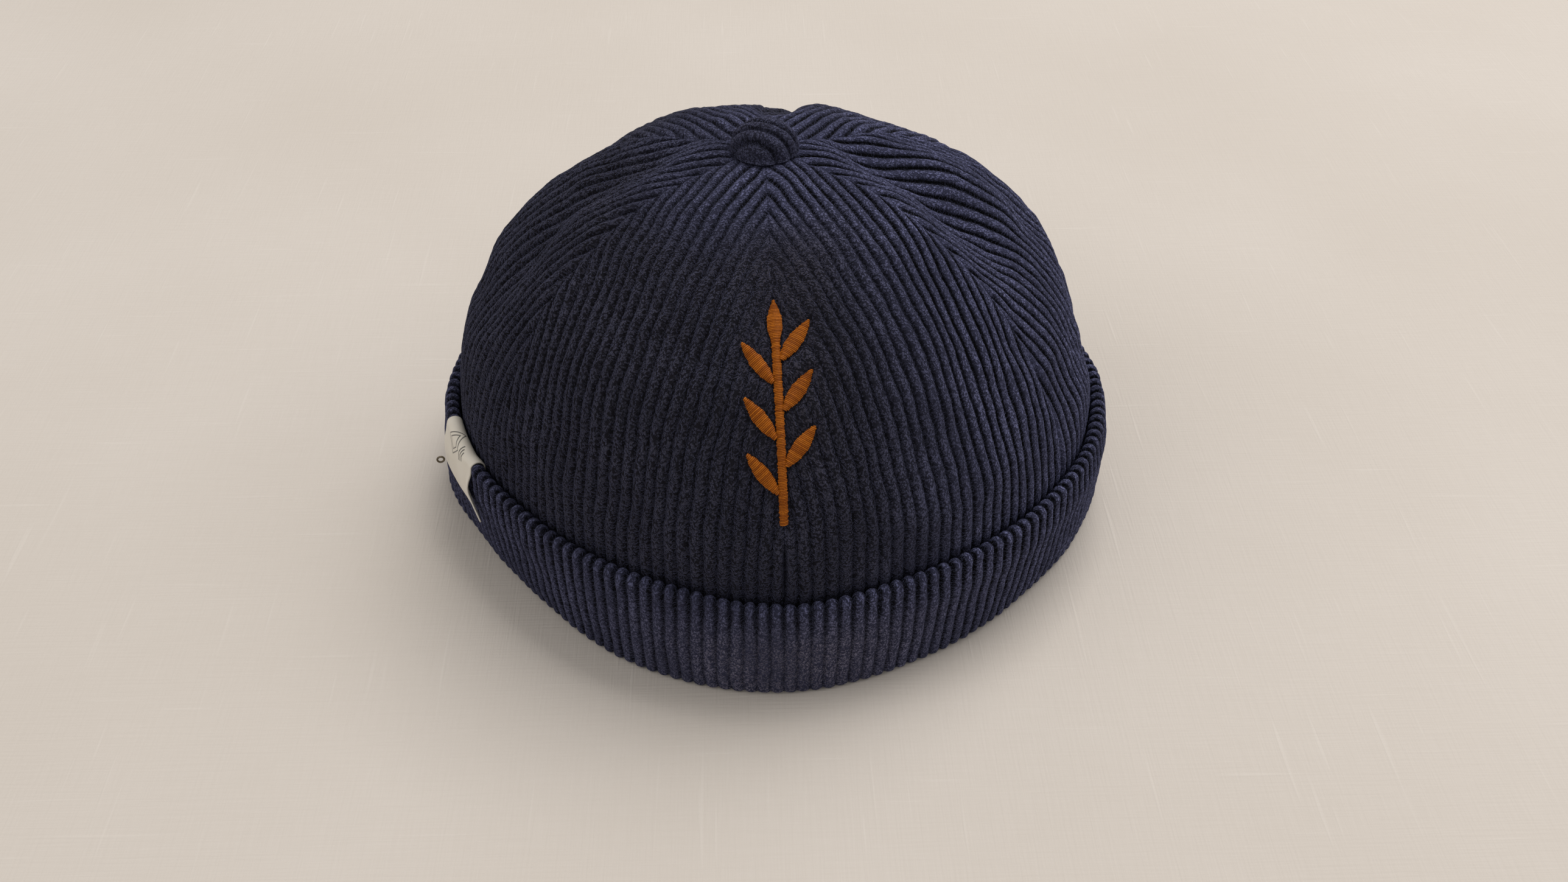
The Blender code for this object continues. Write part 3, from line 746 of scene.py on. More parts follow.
def attribute(tree, name, output="Fac"):
    """A value kept on the points, for a material."""
    return put(tree, "ShaderNodeAttribute", attribute_name=name).outputs[output]


def object_place(tree):
    """Places on the object, in metres."""
    return put(tree, "ShaderNodeTexCoord").outputs["Object"]


def mixed(tree, factor, first, second):
    """A colour between two others."""
    inputs = {0: factor, 6: first, 7: second}
    return put(tree, "ShaderNodeMix", inputs, data_type="RGBA").outputs[2]


def between(tree, value, low, high, new_low=0.0, new_high=1.0):
    """A value moved from one range to another, and kept inside it."""
    inputs = {0: value, 1: low, 2: high, 3: new_low, 4: new_high}
    return put(tree, "ShaderNodeMapRange", inputs).outputs[0]


def noise(tree, vector, scale, detail=2.0, output="Fac"):
    """A noise from 0 to 1."""
    inputs = {"Vector": vector, "Scale": scale, "Detail": detail}
    return put(tree, "ShaderNodeTexNoise", inputs).outputs[output]


def coated(tree, shader, colour, look):
    """Gives a shader its colour and its plain numbers."""
    tree.links.new(colour, shader.inputs["Base Color"])
    for key, value in look.items():
        shader.inputs[key].default_value = value


def bumped(tree, shader, strength, distance, height):
    """Gives a shader a bump."""
    inputs = {"Strength": strength, "Distance": distance, "Height": height}
    bump = put(tree, "ShaderNodeBump", inputs)
    tree.links.new(bump.outputs[0], shader.inputs["Normal"])


def corduroy_material():
    """Navy cotton corduroy: a short curly pile with painted shade in the grooves, painted light and
    painted sheen where its nap value is high, and a soft sheen.
    """
    material, tree, shader = new_material("corduroy")
    place = object_place(tree)
    # The nap value is painted light and painted sheen: it mixes each colour pair towards its
    # lighter, bluer colour
    lie, wear = attribute(tree, "nap_and_painted_light"), attribute(tree, "wear")
    laid = stretched(tree, attribute(tree, "cloth", "Vector"), CURL_STRETCH)
    stray = noise(tree, laid, STRAY_SCALE, 1.0, "Color")
    bent = summed(tree, laid, scaled(tree, stray, STRAY_REACH))
    curls = put(tree, "ShaderNodeTexVoronoi", {"Vector": bent, "Scale": CURL_SCALE}).outputs
    tuft = between(tree, curls["Distance"], *CURL_EDGE, 1.0, 0.0)
    clump = between(tree, noise(tree, place, CLUMP_SCALE), *NOISE_MIDDLE, CLUMP_LIGHT, 1.0)
    patch = between(tree, noise(tree, place, PATCH_SCALE, 3.0), *NOISE_WIDE, PATCH_LIGHT, 1.0)
    worn = calc(tree, "MULTIPLY_ADD", wear, -WEAR_DARKENS, 1.0)
    light = product(tree, product(tree, tuft, patch), product(tree, worn, clump))
    fresh, faded = mixed(tree, lie, *TIP_COLOURS_AND_PAINTED_LIGHT), mixed(tree, lie, *FADED_COLOURS_AND_PAINTED_LIGHT)
    tip = mixed(tree, product(tree, wear, WEAR_FADES), fresh, faded)
    pile = mixed(tree, light, mixed(tree, lie, *ROOT_COLOURS_AND_PAINTED_LIGHT), tip)
    # Painted shade in the grooves: stronger where the painted light is high, less where the cloth
    # is worn
    shown = between(tree, lie, 0.0, GROOVE_NAP, GROOVE_SHOWN, 1.0)
    unfilled = calc(tree, "MULTIPLY_ADD", wear, -WEAR_FILLS, 1.0)
    groove = between(tree, attribute(tree, "groove"), *GROOVE_EDGE)
    groove_painted_shade = product(tree, groove, shown, unfilled)
    coated(tree, shader, mixed(tree, groove_painted_shade, pile, GROOVE_PAINTED_SHADE), CORDUROY_LOOK)
    bumped(tree, shader, *CURL_BUMP, tuft)
    return material


def thread_material():
    """Rust satin thread, a little different from stitch to stitch."""
    material, tree, shader = new_material("embroidery_thread")
    strand = noise(tree, object_place(tree), STRAND_SCALE)
    colour = mixed(tree, attribute(tree, "shade"), *THREAD_COLOURS)
    shadow = between(tree, strand, *NOISE_MIDDLE, 0.0, STRAND_SHADOW)
    coated(tree, shader, mixed(tree, shadow, colour, THREAD_SHADOW), THREAD_LOOK)
    bumped(tree, shader, *STRAND_BUMP, strand)
    return material


def ribbon_marks(tree, ribbon):
    """Where the ink is: two diamonds, one in the other, and a few short strokes beside them."""
    parts = put(tree, "ShaderNodeSeparateXYZ", {0: ribbon}).outputs
    aside, above = apart(tree, parts[0], MARK_ACROSS), apart(tree, parts[1], MARK_ALONG)
    reach = calc(tree, "ADD", aside, above)
    ink = 0.0
    for size in MARK_SIZES:
        line = calc(tree, "LESS_THAN", apart(tree, reach, size), MARK_LINE)
        ink = calc(tree, "MAXIMUM", ink, line)
    for k in range(MARK_STROKES):
        across = calc(tree, "SUBTRACT", parts[0], MARK_ACROSS + MARK_SIZES[0] + MARK_GAP)
        stroke = calc(tree, "LESS_THAN", apart(tree, across, MARK_GAP * k), MARK_LINE)
        short = calc(tree, "LESS_THAN", above, MARK_SIZES[1] - MARK_LINE * 2 * k)
        ink = calc(tree, "MAXIMUM", ink, product(tree, stroke, short))
    return product(tree, ink, MARK_INK)


def ribbon_material():
    """Cream satin ribbon with a fine weave, printed with small plain marks."""
    material, tree, shader = new_material("label_ribbon")
    ribbon = attribute(tree, "ribbon", "Vector")
    grid = stretched(tree, ribbon, (WEAVE_SCALE, WEAVE_SCALE, 1.0))
    inputs = {"Vector": grid, "Scale": 1.0, "Distortion": WEAVE_DISTORTION}
    weave = put(tree, "ShaderNodeTexWave", inputs, bands_direction="Y").outputs["Fac"]
    soil = noise(tree, object_place(tree), SOIL_SCALE, 3.0)
    cream = mixed(tree, soil, *RIBBON_COLOURS)
    printed = mixed(tree, ribbon_marks(tree, ribbon), cream, INK_COLOUR)
    coated(tree, shader, printed, RIBBON_LOOK)
    bumped(tree, shader, *WEAVE_BUMP, weave)
    return material


def wire_material():
    """Dark bronzed wire, worn brighter in places."""
    material, tree, shader = new_material("loop_metal")
    wear = noise(tree, object_place(tree), WIRE_SCALE, 3.0)
    coated(tree, shader, mixed(tree, wear, *WIRE_COLOURS), WIRE_LOOK)
    tree.links.new(between(tree, wear, *WIRE_ROUGHNESS), shader.inputs["Roughness"])
    return material


def table_material():
    """Pale linen table cloth with a faint weave, slubs and soft changes of tone."""
    material, tree, shader = new_material("pale_cloth")
    place = object_place(tree)
    colour = mixed(tree, noise(tree, place, TONE_SCALE), *TABLE_COLOURS)
    height = 0.0
    for stretch in LINEN_STRETCH:
        drawn = stretched(tree, place, stretch)
        thread = noise(tree, drawn, LINEN_SCALE)
        slub = between(tree, noise(tree, drawn, SLUB_SCALE, 1.0), *SLUB_EDGE)
        faint = between(tree, thread, *NOISE_MIDDLE, 0.0, LINEN_SHOWN)
        colour = mixed(tree, faint, colour, TABLE_THREAD)
        colour = mixed(tree, product(tree, slub, SLUB_SHOWN), colour, TABLE_SLUB)
        height = calc(tree, "ADD", height, calc(tree, "MULTIPLY_ADD", slub, SLUB_HEIGHT, thread))
    coated(tree, shader, colour, TABLE_LOOK)
    bumped(tree, shader, *LINEN_BUMP, height)
    return material


# Meshes


def new_object(name, points, faces, values=None):
    """A mesh object with point attributes, given as numbers or vectors."""
    mesh = bpy.data.meshes.new(name)
    mesh.from_pydata(np.asarray(points).reshape(-1, 3).tolist(), [], faces)
    for key, value in (values or {}).items():
        value = np.asarray(value, np.float32)
        if value.shape[-1:] == (3,):
            data = mesh.attributes.new(key, "FLOAT_VECTOR", "POINT").data
            data.foreach_set("vector", value.ravel())
        else:
            data = mesh.attributes.new(key, "FLOAT", "POINT").data
            data.foreach_set("value", value.ravel())
    obj = bpy.data.objects.new(name, mesh)
    bpy.context.scene.collection.objects.link(obj)
    return obj


def tidy_mesh(obj):
    """Merges points that coincide, which closes seams and poles, and shades smooth."""
    mesh = bmesh.new()
    mesh.from_mesh(obj.data)
    bmesh.ops.remove_doubles(mesh, verts=mesh.verts, dist=MERGE_DISTANCE)
    bmesh.ops.dissolve_degenerate(mesh, edges=mesh.edges, dist=SLIVER_LENGTH)
    mesh.to_mesh(obj.data)
    mesh.free()
    obj.data.shade_smooth()


def ribbed(obj, ribs, material, rib_height, lie):
    """Closes a corduroy mesh, and raises its ribs and its pile."""
    tidy_mesh(obj)
    apply_tree(obj, ribs, {"Rib Height": rib_height, "Pile": PILE, **lie, "Material": material})


def grid_faces(rows, columns, first=0, flip=False, closed=False):
    """Faces of a grid of points, row by row, counted from first."""
    faces = []
    for i in range(rows - 1):
        for j in range(columns if closed else columns - 1):
            a, b = first + i * columns + j, first + i * columns + (j + 1) % columns
            face = (a, b, b + columns, a + columns)
            faces.append(face[::-1] if flip else face)
    return faces


def perimeter(row_places, column_places, columns, first=0):
    """The indices round a grid, each with how far round it lies, a side counting as 1."""
    last = first + (len(row_places) - 1) * columns
    rows, foot = list(enumerate(row_places)), list(enumerate(column_places[-1]))
    loop = [(c, first + j) for j, c in enumerate(column_places[0])]
    loop += [(1 + r, first + i * columns + columns - 1) for i, r in rows]
    loop += [(3 - c, last + j) for j, c in reversed(foot)]
    loop += [(4 - r, first + i * columns) for i, r in reversed(rows)]
    return loop


def bridge(loop, other):
    """Triangles that close the gap between two loops of (place, index)."""
    faces = []
    i = j = 0
    while i < len(loop) - 1 or j < len(other) - 1:
        behind = i < len(loop) - 1 and j < len(other) - 1 and loop[i + 1][0] <= other[j + 1][0]
        a, b = loop[i][1], other[j][1]
        if behind or j == len(other) - 1:
            i += 1
            faces.append((loop[i][1], a, b))
        else:
            j += 1
            faces.append((a, b, other[j][1]))
    return faces


def sprig_lines():
    """The sprig's centre lines in its flat frame: points, half-widths and stitch directions."""
    heights = np.linspace(0.0, STEM_TOP * SPRIG_HEIGHT, STEM_POINTS)
    stem = np.stack([heights * 0, heights], 1)
    lines = [(stem, np.full(STEM_POINTS, SPRIG_STEM / 2), 90.0)]
    angle = math.radians(LEAF_ANGLE)
    along = np.linspace(*LEAF_ENDS, LEAF_POINTS)
    half = np.interp(along, LEAF_SHARES, LEAF_SHAPE) * LEAF_WIDTH / 2
    for side, start in LEAVES:
        root = np.array([side * SPRIG_STEM / 2, start * SPRIG_HEIGHT + SPRIG_STEM * LEAF_TUCK])
        ahead = np.array([side * math.sin(angle), math.cos(angle)])
        points = root + ahead * (LEAF_LENGTH * along)[:, None]
        lines.append((points, half, 90.0 - side * LEAF_ANGLE))
    neck = STEM_TOP * SPRIG_HEIGHT
    points = np.stack([along * 0, neck + (SPRIG_HEIGHT - neck) * along], 1)
    lines.append((points, np.interp(along, LEAF_SHARES, BUD_SHAPE) * LEAF_WIDTH / 2, 90.0))
    return lines


def seam_lengths():
    """Rises on the front seam and how far along the cloth each lies above the rim."""
    rises = np.linspace(0.0, 1.0, SEAM_STEPS + 1)
    return rises, run_lengths(smooth_crown(0.0, rises))


SEAM_RISES, SEAM_LENGTHS = seam_lengths()


def on_front(across, height):
    """Azimuth and rise of points of the sprig's flat frame on the front of the crown."""
    rise = np.interp(SPRIG_START + height, SEAM_LENGTHS, SEAM_RISES)
    return np.degrees(across / np.abs(smooth_crown(0.0, rise)[..., 1])), rise


def sprig_press(points):
    """How much the stitches hold the cloth down: 1 under them and 0 from a little way off."""
    press = np.zeros(points.shape[:-1])
    for line, half, _ in sprig_lines():
        azimuth, rise = on_front(line[:, 0], line[:, 1])
        for place, reach in list(zip(crown(azimuth, rise), half))[::PRESS_EVERY]:
            gap = np.linalg.norm(points - place, axis=-1)
            press = np.maximum(press, 1.0 - smooth_step((gap - reach) / PRESS_REACH))
    return press


def cuff_arcs():
    """Azimuths round the cuff and how far along its outer face each lies."""
    turns = np.linspace(-180.0, 180.0, CUFF_ARC_STEPS + 1)
    return turns, run_lengths(at(turns, cuff_face(turns, CUFF_HEIGHT / 2), 0.0))


def flat_pair(first, second):
    """Two grids of numbers or vectors, as one list."""
    if first.ndim == 3:
        return np.concatenate([first.reshape(-1, 3), second.reshape(-1, 3)])
    return np.concatenate([first.ravel(), second.ravel()])


def nap_and_painted_light(points):
    """Painted light on the pile, 0 to 1: painted lighter to the right and over the top, where the
    light falls.
    """
    toward_right = points[..., 0] / np.maximum(np.hypot(points[..., 0], points[..., 1]), 0.001)
    aside = smooth_step((toward_right - PAINTED_LIGHT_SIDE) / PAINTED_LIGHT_SIDE_SPAN)
    upper = smooth_step((points[..., 2] / CROWN_HEIGHT - PAINTED_LIGHT_TOP) / PAINTED_LIGHT_TOP_SPAN)
    top = TOP_PAINTED_LIGHT + TOP_PAINTED_LIGHT_GAIN * smooth_step((toward_right + 1.0) / TOP_PAINTED_LIGHT_SPAN)
    return np.maximum(aside, upper * top)


def seam_wear(points, rise):
    """How worn and flattened the ribs are: along the front seam, most about the embroidery."""
    grown = smooth_step((rise - WEAR_FOOT) / WEAR_GROWTH)
    length = grown * smooth_step((WEAR_TOP - rise) / WEAR_FADE)
    return (1.0 - smooth_step(np.abs(points[..., 0]) / WEAR_WIDTH)) * length


def panel_rises():
    """The rows of a panel, from the foot of its hidden wall to just beside the apex."""
    top = math.acos(APEX_HOLE / (CUFF_RADIUS - CROWN_INSET)) * 2 / math.pi
    return np.concatenate([WALL_RISES, np.linspace(0.0, top, PANEL_ROWS)])


def panel_arcs(first_azimuth, rises):
    """Azimuths across a panel and, row by row, how far each lies from the centre line."""
    turns = np.linspace(first_azimuth, first_azimuth + PANEL_TURN, ARC_STEPS + 1)
    track = smooth_crown(turns[None, :], rises[:, None])
    steps = np.linalg.norm(np.diff(track, axis=1), axis=2)
    lengths = np.concatenate([np.zeros((len(rises), 1)), np.cumsum(steps, axis=1)], axis=1)
    return turns, lengths - lengths[:, [ARC_STEPS // 2]]


def on_crown(across, turns, arcs, rises):
    """A panel's points, given how far from its centre line they lie: their rises, their places
    and the way the cloth faces there."""
    azimuth = np.stack([np.interp(row, arc, turns) for row, arc in zip(across, arcs)])
    rise = np.broadcast_to(rises[:, None], across.shape)
    return rise, crown(azimuth, rise), facing(crown, azimuth, rise)


def rib_columns(arcs, rises):
    """A panel's columns, along its ribs as far as its seams: how far each point lies from the
    centre line and from the nearer seam, and at which rib."""
    left, right = arcs[:, [0]], arcs[:, [-1]]
    rim_left, rim_right = arcs[len(WALL_RISES), [0, -1]]
    pitch = (rim_right - rim_left) / PANEL_RIBS
    step = pitch / PANEL_RIB_COLUMNS
    drawn = 1.0 - RIB_SQUEEZE * smooth_step(rises / SQUEEZED_AT)[:, None]
    before = math.ceil((rim_left - (left / drawn).min()) / step)
    after = math.ceil(((right / drawn).max() - rim_right) / step)
    lines = rim_left + step * np.arange(-before, PANEL_RIBS * PANEL_RIB_COLUMNS + after + 1)
    across = np.clip(lines * drawn, left + SEAM_GAP / 2, right - SEAM_GAP / 2)
    edge = np.minimum(across - left, right - across)
    return across, edge, (across / drawn - rim_left) / pitch


def seam_slit(points, rise):
    """How far the slit at the foot of the front seam cuts into the cloth."""
    slit = SLIT_DEPTH * bell(points[..., 0], SLIT_SPREAD)
    return slit * smooth_step(rise / SLIT_FOOT) * smooth_step((SLIT_TOP - rise) / SLIT_FADE)


def panel_relief(points, rise, edge, press):
    """How high a panel's ribs are, and how far its seams and the stitches sink into it."""
    to_apex = np.hypot(points[..., 0] - BUTTON_X, points[..., 1])
    near_top = smooth_step((to_apex - BUTTON_DIAMETER / 3) / (BUTTON_DIAMETER / 3))
    raised = (1.0 - PRESS_FLATTENS * press) * np.clip(EDGE_RAISE + edge / EDGE_REACH, 0.0, 1.0)
    seam = SEAM_DEPTH * bell(edge, SEAM_SPREAD) * near_top
    seam = seam * (1.0 + SEAM_FOOT * (1.0 - smooth_step(rise / SEAM_FOOT_RISE)))
    sunk = seam * smooth_step((rise + SEAM_FADE) / SEAM_FADE) + PRESS_DEPTH * press
    return raised * near_top, sunk


def panel_outside(front, turns, arcs, rises):
    """A panel's ribbed face: its points, their values, and their shares of the way across."""
    across, edge, rib = rib_columns(arcs, rises)
    rise, points, out = on_crown(across, turns, arcs, rises)
    along = run_lengths(points[:, across.shape[1] // 2])
    along = np.broadcast_to(along[:, None], across.shape)
    press = sprig_press(points) if front else np.zeros(across.shape)
    wear = seam_wear(points, rise) if front else np.zeros(across.shape)
    raised, sunk = panel_relief(points, rise, edge, press)
    if front:
        sunk = sunk + seam_slit(points, rise)
    shown = smooth_step((rise + HIDDEN_RISE) / HIDDEN_FADE)
    loose = smooth_step(rise / LOOSE_RISE) * smooth_step(edge / LOOSE_EDGE)
    values = {
        "rib": rib,
        "raise": raised * shown * (1.0 - WEAR_SHARE * wear),
        "loose": loose * (1.0 - PRESS_HOLDS * press),
        "pile": shown * (1.0 - PRESS_LAYS * press),
        # Painted light on the pile, with less of it where the seam is worn
        "nap_and_painted_light": nap_and_painted_light(points) * (1.0 - WEAR_NAP * wear),
        "wear": wear,
        "out": out,
        "side": unit(np.cross(np.gradient(points, axis=0), out)),
        "cloth": np.stack([across, along, across * 0], -1),
    }
    share = (across - across[:, [0]]) / (across[:, [-1]] - across[:, [0]])
    return points - out * sunk[..., None], values, share


def panel_inside(turns, arcs, rises):
    """A panel's plain inner face, the cloth's thickness inside the outer one."""
    shares = np.linspace(0.0, 1.0, INNER_COLUMNS)
    across = arcs[:, [0]] + (arcs[:, [-1]] - arcs[:, [0]]) * shares
    inset = SEAM_GAP / 2 * np.sign(0.5 - shares) * (np.abs(shares - 0.5) == 0.5)
    _, points, out = on_crown(across + inset, turns, arcs, rises)
    points = points - out * CLOTH
    values = dict.fromkeys(("rib", "raise", "loose", "pile", "nap_and_painted_light", "wear"), across * 0)
    values.update({"out": out, "side": out * 0, "cloth": points})
    return points, values, np.broadcast_to(shares, across.shape)


def panel(name, first_azimuth, ribs, material):
    """One crown panel: ribs along its centre line that run into the seams at its edges."""
    rises = panel_rises()
    rows = len(rises)
    turns, arcs = panel_arcs(first_azimuth, rises)
    points, values, share = panel_outside("front" in name, turns, arcs, rises)
    few = np.arange(len(WALL_RISES), rows, INNER_STEP)
    few = np.unique(np.concatenate([[0, 2], few, [rows - 1]]))
    inner, inner_values, inner_share = panel_inside(turns, arcs[few], rises[few])
    columns = points.shape[1]
    first = rows * columns
    heights = np.arange(rows) / (rows - 1)
    faces = grid_faces(rows, columns) + grid_faces(len(few), INNER_COLUMNS, first, flip=True)
    outer_loop = perimeter(heights, share, columns)
    inner_loop = perimeter(heights[few], inner_share, INNER_COLUMNS, first)
    faces += bridge(outer_loop, inner_loop)
    both = {key: flat_pair(value, inner_values[key]) for key, value in values.items()}
    obj = new_object(name + "_cloth", flat_pair(points, inner), faces, both)
    ribbed(obj, ribs, material, RIB_HEIGHT, PANEL_LIE)
    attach(obj, "root")
    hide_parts(name)


def cuff_rows(azimuth):
    """The cuff's section, row by row: its radius, its height and how high the ribs are."""
    top = CUFF_RADIUS * plan_share("cuff", azimuth)
    foot = cuff_face(azimuth, 0.0)
    roll = CUFF_ROLL / 2
    level = CUFF_HEIGHT - roll
    still = top * 0
    dip = DIP_DEPTH * bell(azimuth, DIP_TURN)
    inner = CROWN_INSET + CLOTH
    rows = [(foot - CROWN_INSET - CLOTH + FOLD_ROUNDING, still, 0.0)]
    rows.append((foot - FOLD_ROUNDING * 2, still, 0.0))
    for turn in FOOT_TURNS:
        angle = math.radians(turn)
        z = FOLD_ROUNDING * (1 - math.cos(angle))
        inset = FOLD_ROUNDING * (1 - math.sin(angle))
        rows.append((cuff_face(azimuth, z) - inset, still + z, min(1.0, turn / FOOT_FULL)))
    for z in np.linspace(FOLD_ROUNDING, level, CUFF_ROWS):
        relief = 1.0 + ROLL_RELIEF * smooth_step(z / level * 4 - 3)
        rows.append((cuff_face(azimuth, z), z - dip * z / level, relief))
    middle = cuff_face(azimuth, level) - roll
    for turn in ROLL_TURNS:
        angle = math.radians(turn)
        fuller = math.sin(min(angle, math.pi / 2)) if turn < ROLL_OVER else 0.0
        height = level - dip + roll * math.sin(angle)
        rows.append((middle + roll * math.cos(angle), height, 1.0 + ROLL_RELIEF * fuller))
    for drop, relief in ROLL_INSIDE:
        thin = smooth_step(drop / ROLL_TAPER)
        inset = CUFF_ROLL * (1.0 - thin) + CUFF_WALL * thin
        radius = top - inset + foot_reach(azimuth, level - drop)
        rows.append((radius, level - dip - drop, relief))
    for inset, z in (
        (CUFF_WALL, FOLD_THICKNESS),
        (CROWN_INSET, FOLD_THICKNESS),
        (CROWN_INSET, BAND_HEIGHT),
        (inner, BAND_HEIGHT),
        (inner, FOLD_ROUNDING),
    ):
        rows.append((top - inset + foot_reach(azimuth, z), still + z, 0.0))
    return rows


def cuff(ribs, material):
    """The turned-up cuff: ribs up its outside, over the rolled top and a little way down inside."""
    fine, lengths = cuff_arcs()
    columns = CUFF_RIBS * CUFF_RIB_COLUMNS
    across = lengths[-1] * np.arange(columns) / columns
    azimuth = np.interp(across, lengths, fine)
    rows = cuff_rows(azimuth)
    points = np.stack([at(azimuth, radius, z) for radius, z, _ in rows])
    around = np.roll(points, -1, axis=1) - np.roll(points, 1, axis=1)
    up = np.roll(points, -1, axis=0) - np.roll(points, 1, axis=0)
    raised = np.stack([np.full(columns, relief) for _, _, relief in rows])
    along = row_lengths(points)
    height = points[..., 2]
    free = smooth_step((CUFF_HEIGHT - height) / CUFF_FREE + CUFF_FREE_TOP)
    free = smooth_step(height / CUFF_FREE) * free
    low = smooth_step(2.0 - 2.0 * height / (CUFF_HEIGHT - CUFF_ROLL / 2))
    rub = bell(azimuth, RUB_TURN) * low
    values = {
        "rib": np.broadcast_to(np.arange(columns) / CUFF_RIB_COLUMNS, raised.shape),
        "raise": raised * (1.0 - RUB_SHARE * rub),
        "loose": np.minimum(raised, 1.0) * free,
        "pile": np.minimum(raised, 1.0),
        # Painted light on the cuff's pile: lighter all round, more to the right and over the top,
        # and lighter where it is rubbed
        "nap_and_painted_light": CUFF_NAP_PAINTED_LIGHT + nap_and_painted_light(points) * (1.0 - CUFF_NAP_PAINTED_LIGHT) + RUB_NAP * rub,
        "wear": rub,
        "out": unit(np.cross(around, up)),
        "side": unit(around),
        "cloth": np.stack([np.broadcast_to(across, raised.shape), along, along * 0], -1),
    }
    last = (len(rows) - 1) * columns
    faces = grid_faces(len(rows), columns, closed=True)
    faces += [(last + j, last + (j + 1) % columns, (j + 1) % columns, j) for j in range(columns)]
    obj = new_object("cuff_cloth", points, faces, values)
    ribbed(obj, ribs, material, RIB_HEIGHT, CUFF_LIE)
    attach(obj, "root")
    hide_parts("cuff")


def button(ribs, material):
    """The covered button. Its ribs run from the left at the back to the right at the front."""
    radius = BUTTON_DIAMETER / 2
    seat = CROWN_HEIGHT - DIMPLE_DEPTH / 2
    step = BUTTON_PITCH / PANEL_RIB_COLUMNS
    count = math.ceil(radius / step)
    lines = np.arange(-count, count + 1) * step
    along = radius * np.sin(np.radians(np.linspace(-90.0, 90.0, BUTTON_ROWS)))
    reach = np.sqrt(np.maximum(radius**2 - along**2, 0.0))
    across = np.clip(lines[None, :], -reach[:, None], reach[:, None])
    along = np.broadcast_to(along[:, None], across.shape)
    turn = math.radians(BUTTON_TURN)
    x = along * math.cos(turn) - across * math.sin(turn)
    y = -along * math.sin(turn) - across * math.cos(turn)
    share = np.clip(np.hypot(x, y) / radius, 0.0, 1.0)
    z = seat + (BUTTON_HIGH.z - seat) * (1.0 - share**BUTTON_ROUNDNESS) ** 0.5
    points = np.stack([x + BUTTON_X, y, z], -1)
    low = np.full(x.shape, seat - BUTTON_SINK)
    under = np.stack([x * BUTTON_UNDER + BUTTON_X, y * BUTTON_UNDER, low], -1)
    still = x * 0
    values = {
        "rib": across / BUTTON_PITCH + BUTTON_PHASE,
        "raise": np.clip(BUTTON_EDGE_RAISE + (1.0 - share) * BUTTON_EDGE_GROWTH, 0.0, 1.0),
        "loose": still,
        "pile": still + 1.0,
        # Painted light on the button's pile, weaker than on the crown
        "nap_and_painted_light": nap_and_painted_light(points) * BUTTON_PAINTED_LIGHT,
        "out": unit(points - np.array([BUTTON_X, 0.0, seat - radius * BUTTON_CENTRE])),
        "side": np.stack([still, still, still], -1),
        "cloth": points,
    }
    rows, columns = x.shape
    first = rows * columns
    faces = grid_faces(rows, columns) + grid_faces(rows, columns, first, flip=True)
    spread = np.broadcast_to(np.linspace(0.0, 1.0, columns), x.shape)
    loop = [index for _, index in perimeter(np.arange(rows) / rows, spread, columns)]
    faces += [(a, b, b + first, a + first) for a, b in zip(loop, loop[1:] + loop[:1])]
    plain = ("raise", "pile")
    both = {key: flat_pair(value, value * (key not in plain)) for key, value in values.items()}
    obj = new_object("button_cloth", flat_pair(points, under), faces, both)
    ribbed(obj, ribs, material, BUTTON_RIB_HEIGHT, BUTTON_LIE)
    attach(obj, "root")
    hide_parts("button")


def stitch_tree():
    """A thread laid as a low arch at every point, along that point's reach."""
    others = {"Seed": "Int", "Material": "Material"}
    tree, given, result = new_tree("satin_stitches", ("Thread", "Arch"), others)
    points = put(tree, "GeometryNodeMeshToPoints", {"Mesh": given["Geometry"]}).outputs[0]
    inputs = {2: 0.0, 3: 1.0, "Seed": given["Seed"]}
    shade = put(tree, "FunctionNodeRandomValue", inputs, data_type="FLOAT").outputs[1]
    middle = put(tree, "ShaderNodeCombineXYZ", {"Z": calc(tree, "MULTIPLY", given["Arch"], 2.0)})
    ends = {"Start": (-1.0, 0.0, 0.0), "Middle": middle.outputs[0], "End": (1.0, 0.0, 0.0)}
    arch = put(tree, "GeometryNodeCurveQuadraticBezier", {"Resolution": THREAD_STEPS, **ends})
    inputs = {"Resolution": THREAD_STEPS, "Radius": given["Thread"]}
    ring = put(tree, "GeometryNodeCurvePrimitiveCircle", inputs)
    inputs = {"Curve": arch.outputs[0], "Profile Curve": ring.outputs[0], "Fill Caps": True}
    strand = put(tree, "GeometryNodeCurveToMesh", inputs)
    smooth = put(tree, "GeometryNodeSetShadeSmooth", {"Geometry": strand.outputs[0]})
    reach = named(tree, "reach", "FLOAT_VECTOR")
    length = put(tree, "ShaderNodeVectorMath", {0: reach}, operation="LENGTH").outputs["Value"]
    turn = "FunctionNodeAlignRotationToVector"
    up = put(tree, turn, {"Vector": named(tree, "out", "FLOAT_VECTOR")}, axis="Z")
    inputs = {"Rotation": up.outputs[0], "Vector": reach}
    turned = put(tree, turn, inputs, axis="X", pivot_axis="Z")
    size = put(tree, "ShaderNodeCombineXYZ", {"X": length, "Y": 1.0, "Z": 1.0})
    inputs = {
        "Points": stored(tree, points, "shade", shade),
        "Instance": smooth.outputs[0],
        "Rotation": turned.outputs[0],
        "Scale": size.outputs[0],
    }
    laid = put(tree, "GeometryNodeInstanceOnPoints", inputs)
    end_tree(tree, laid.outputs[0], given["Material"], result)
    return tree


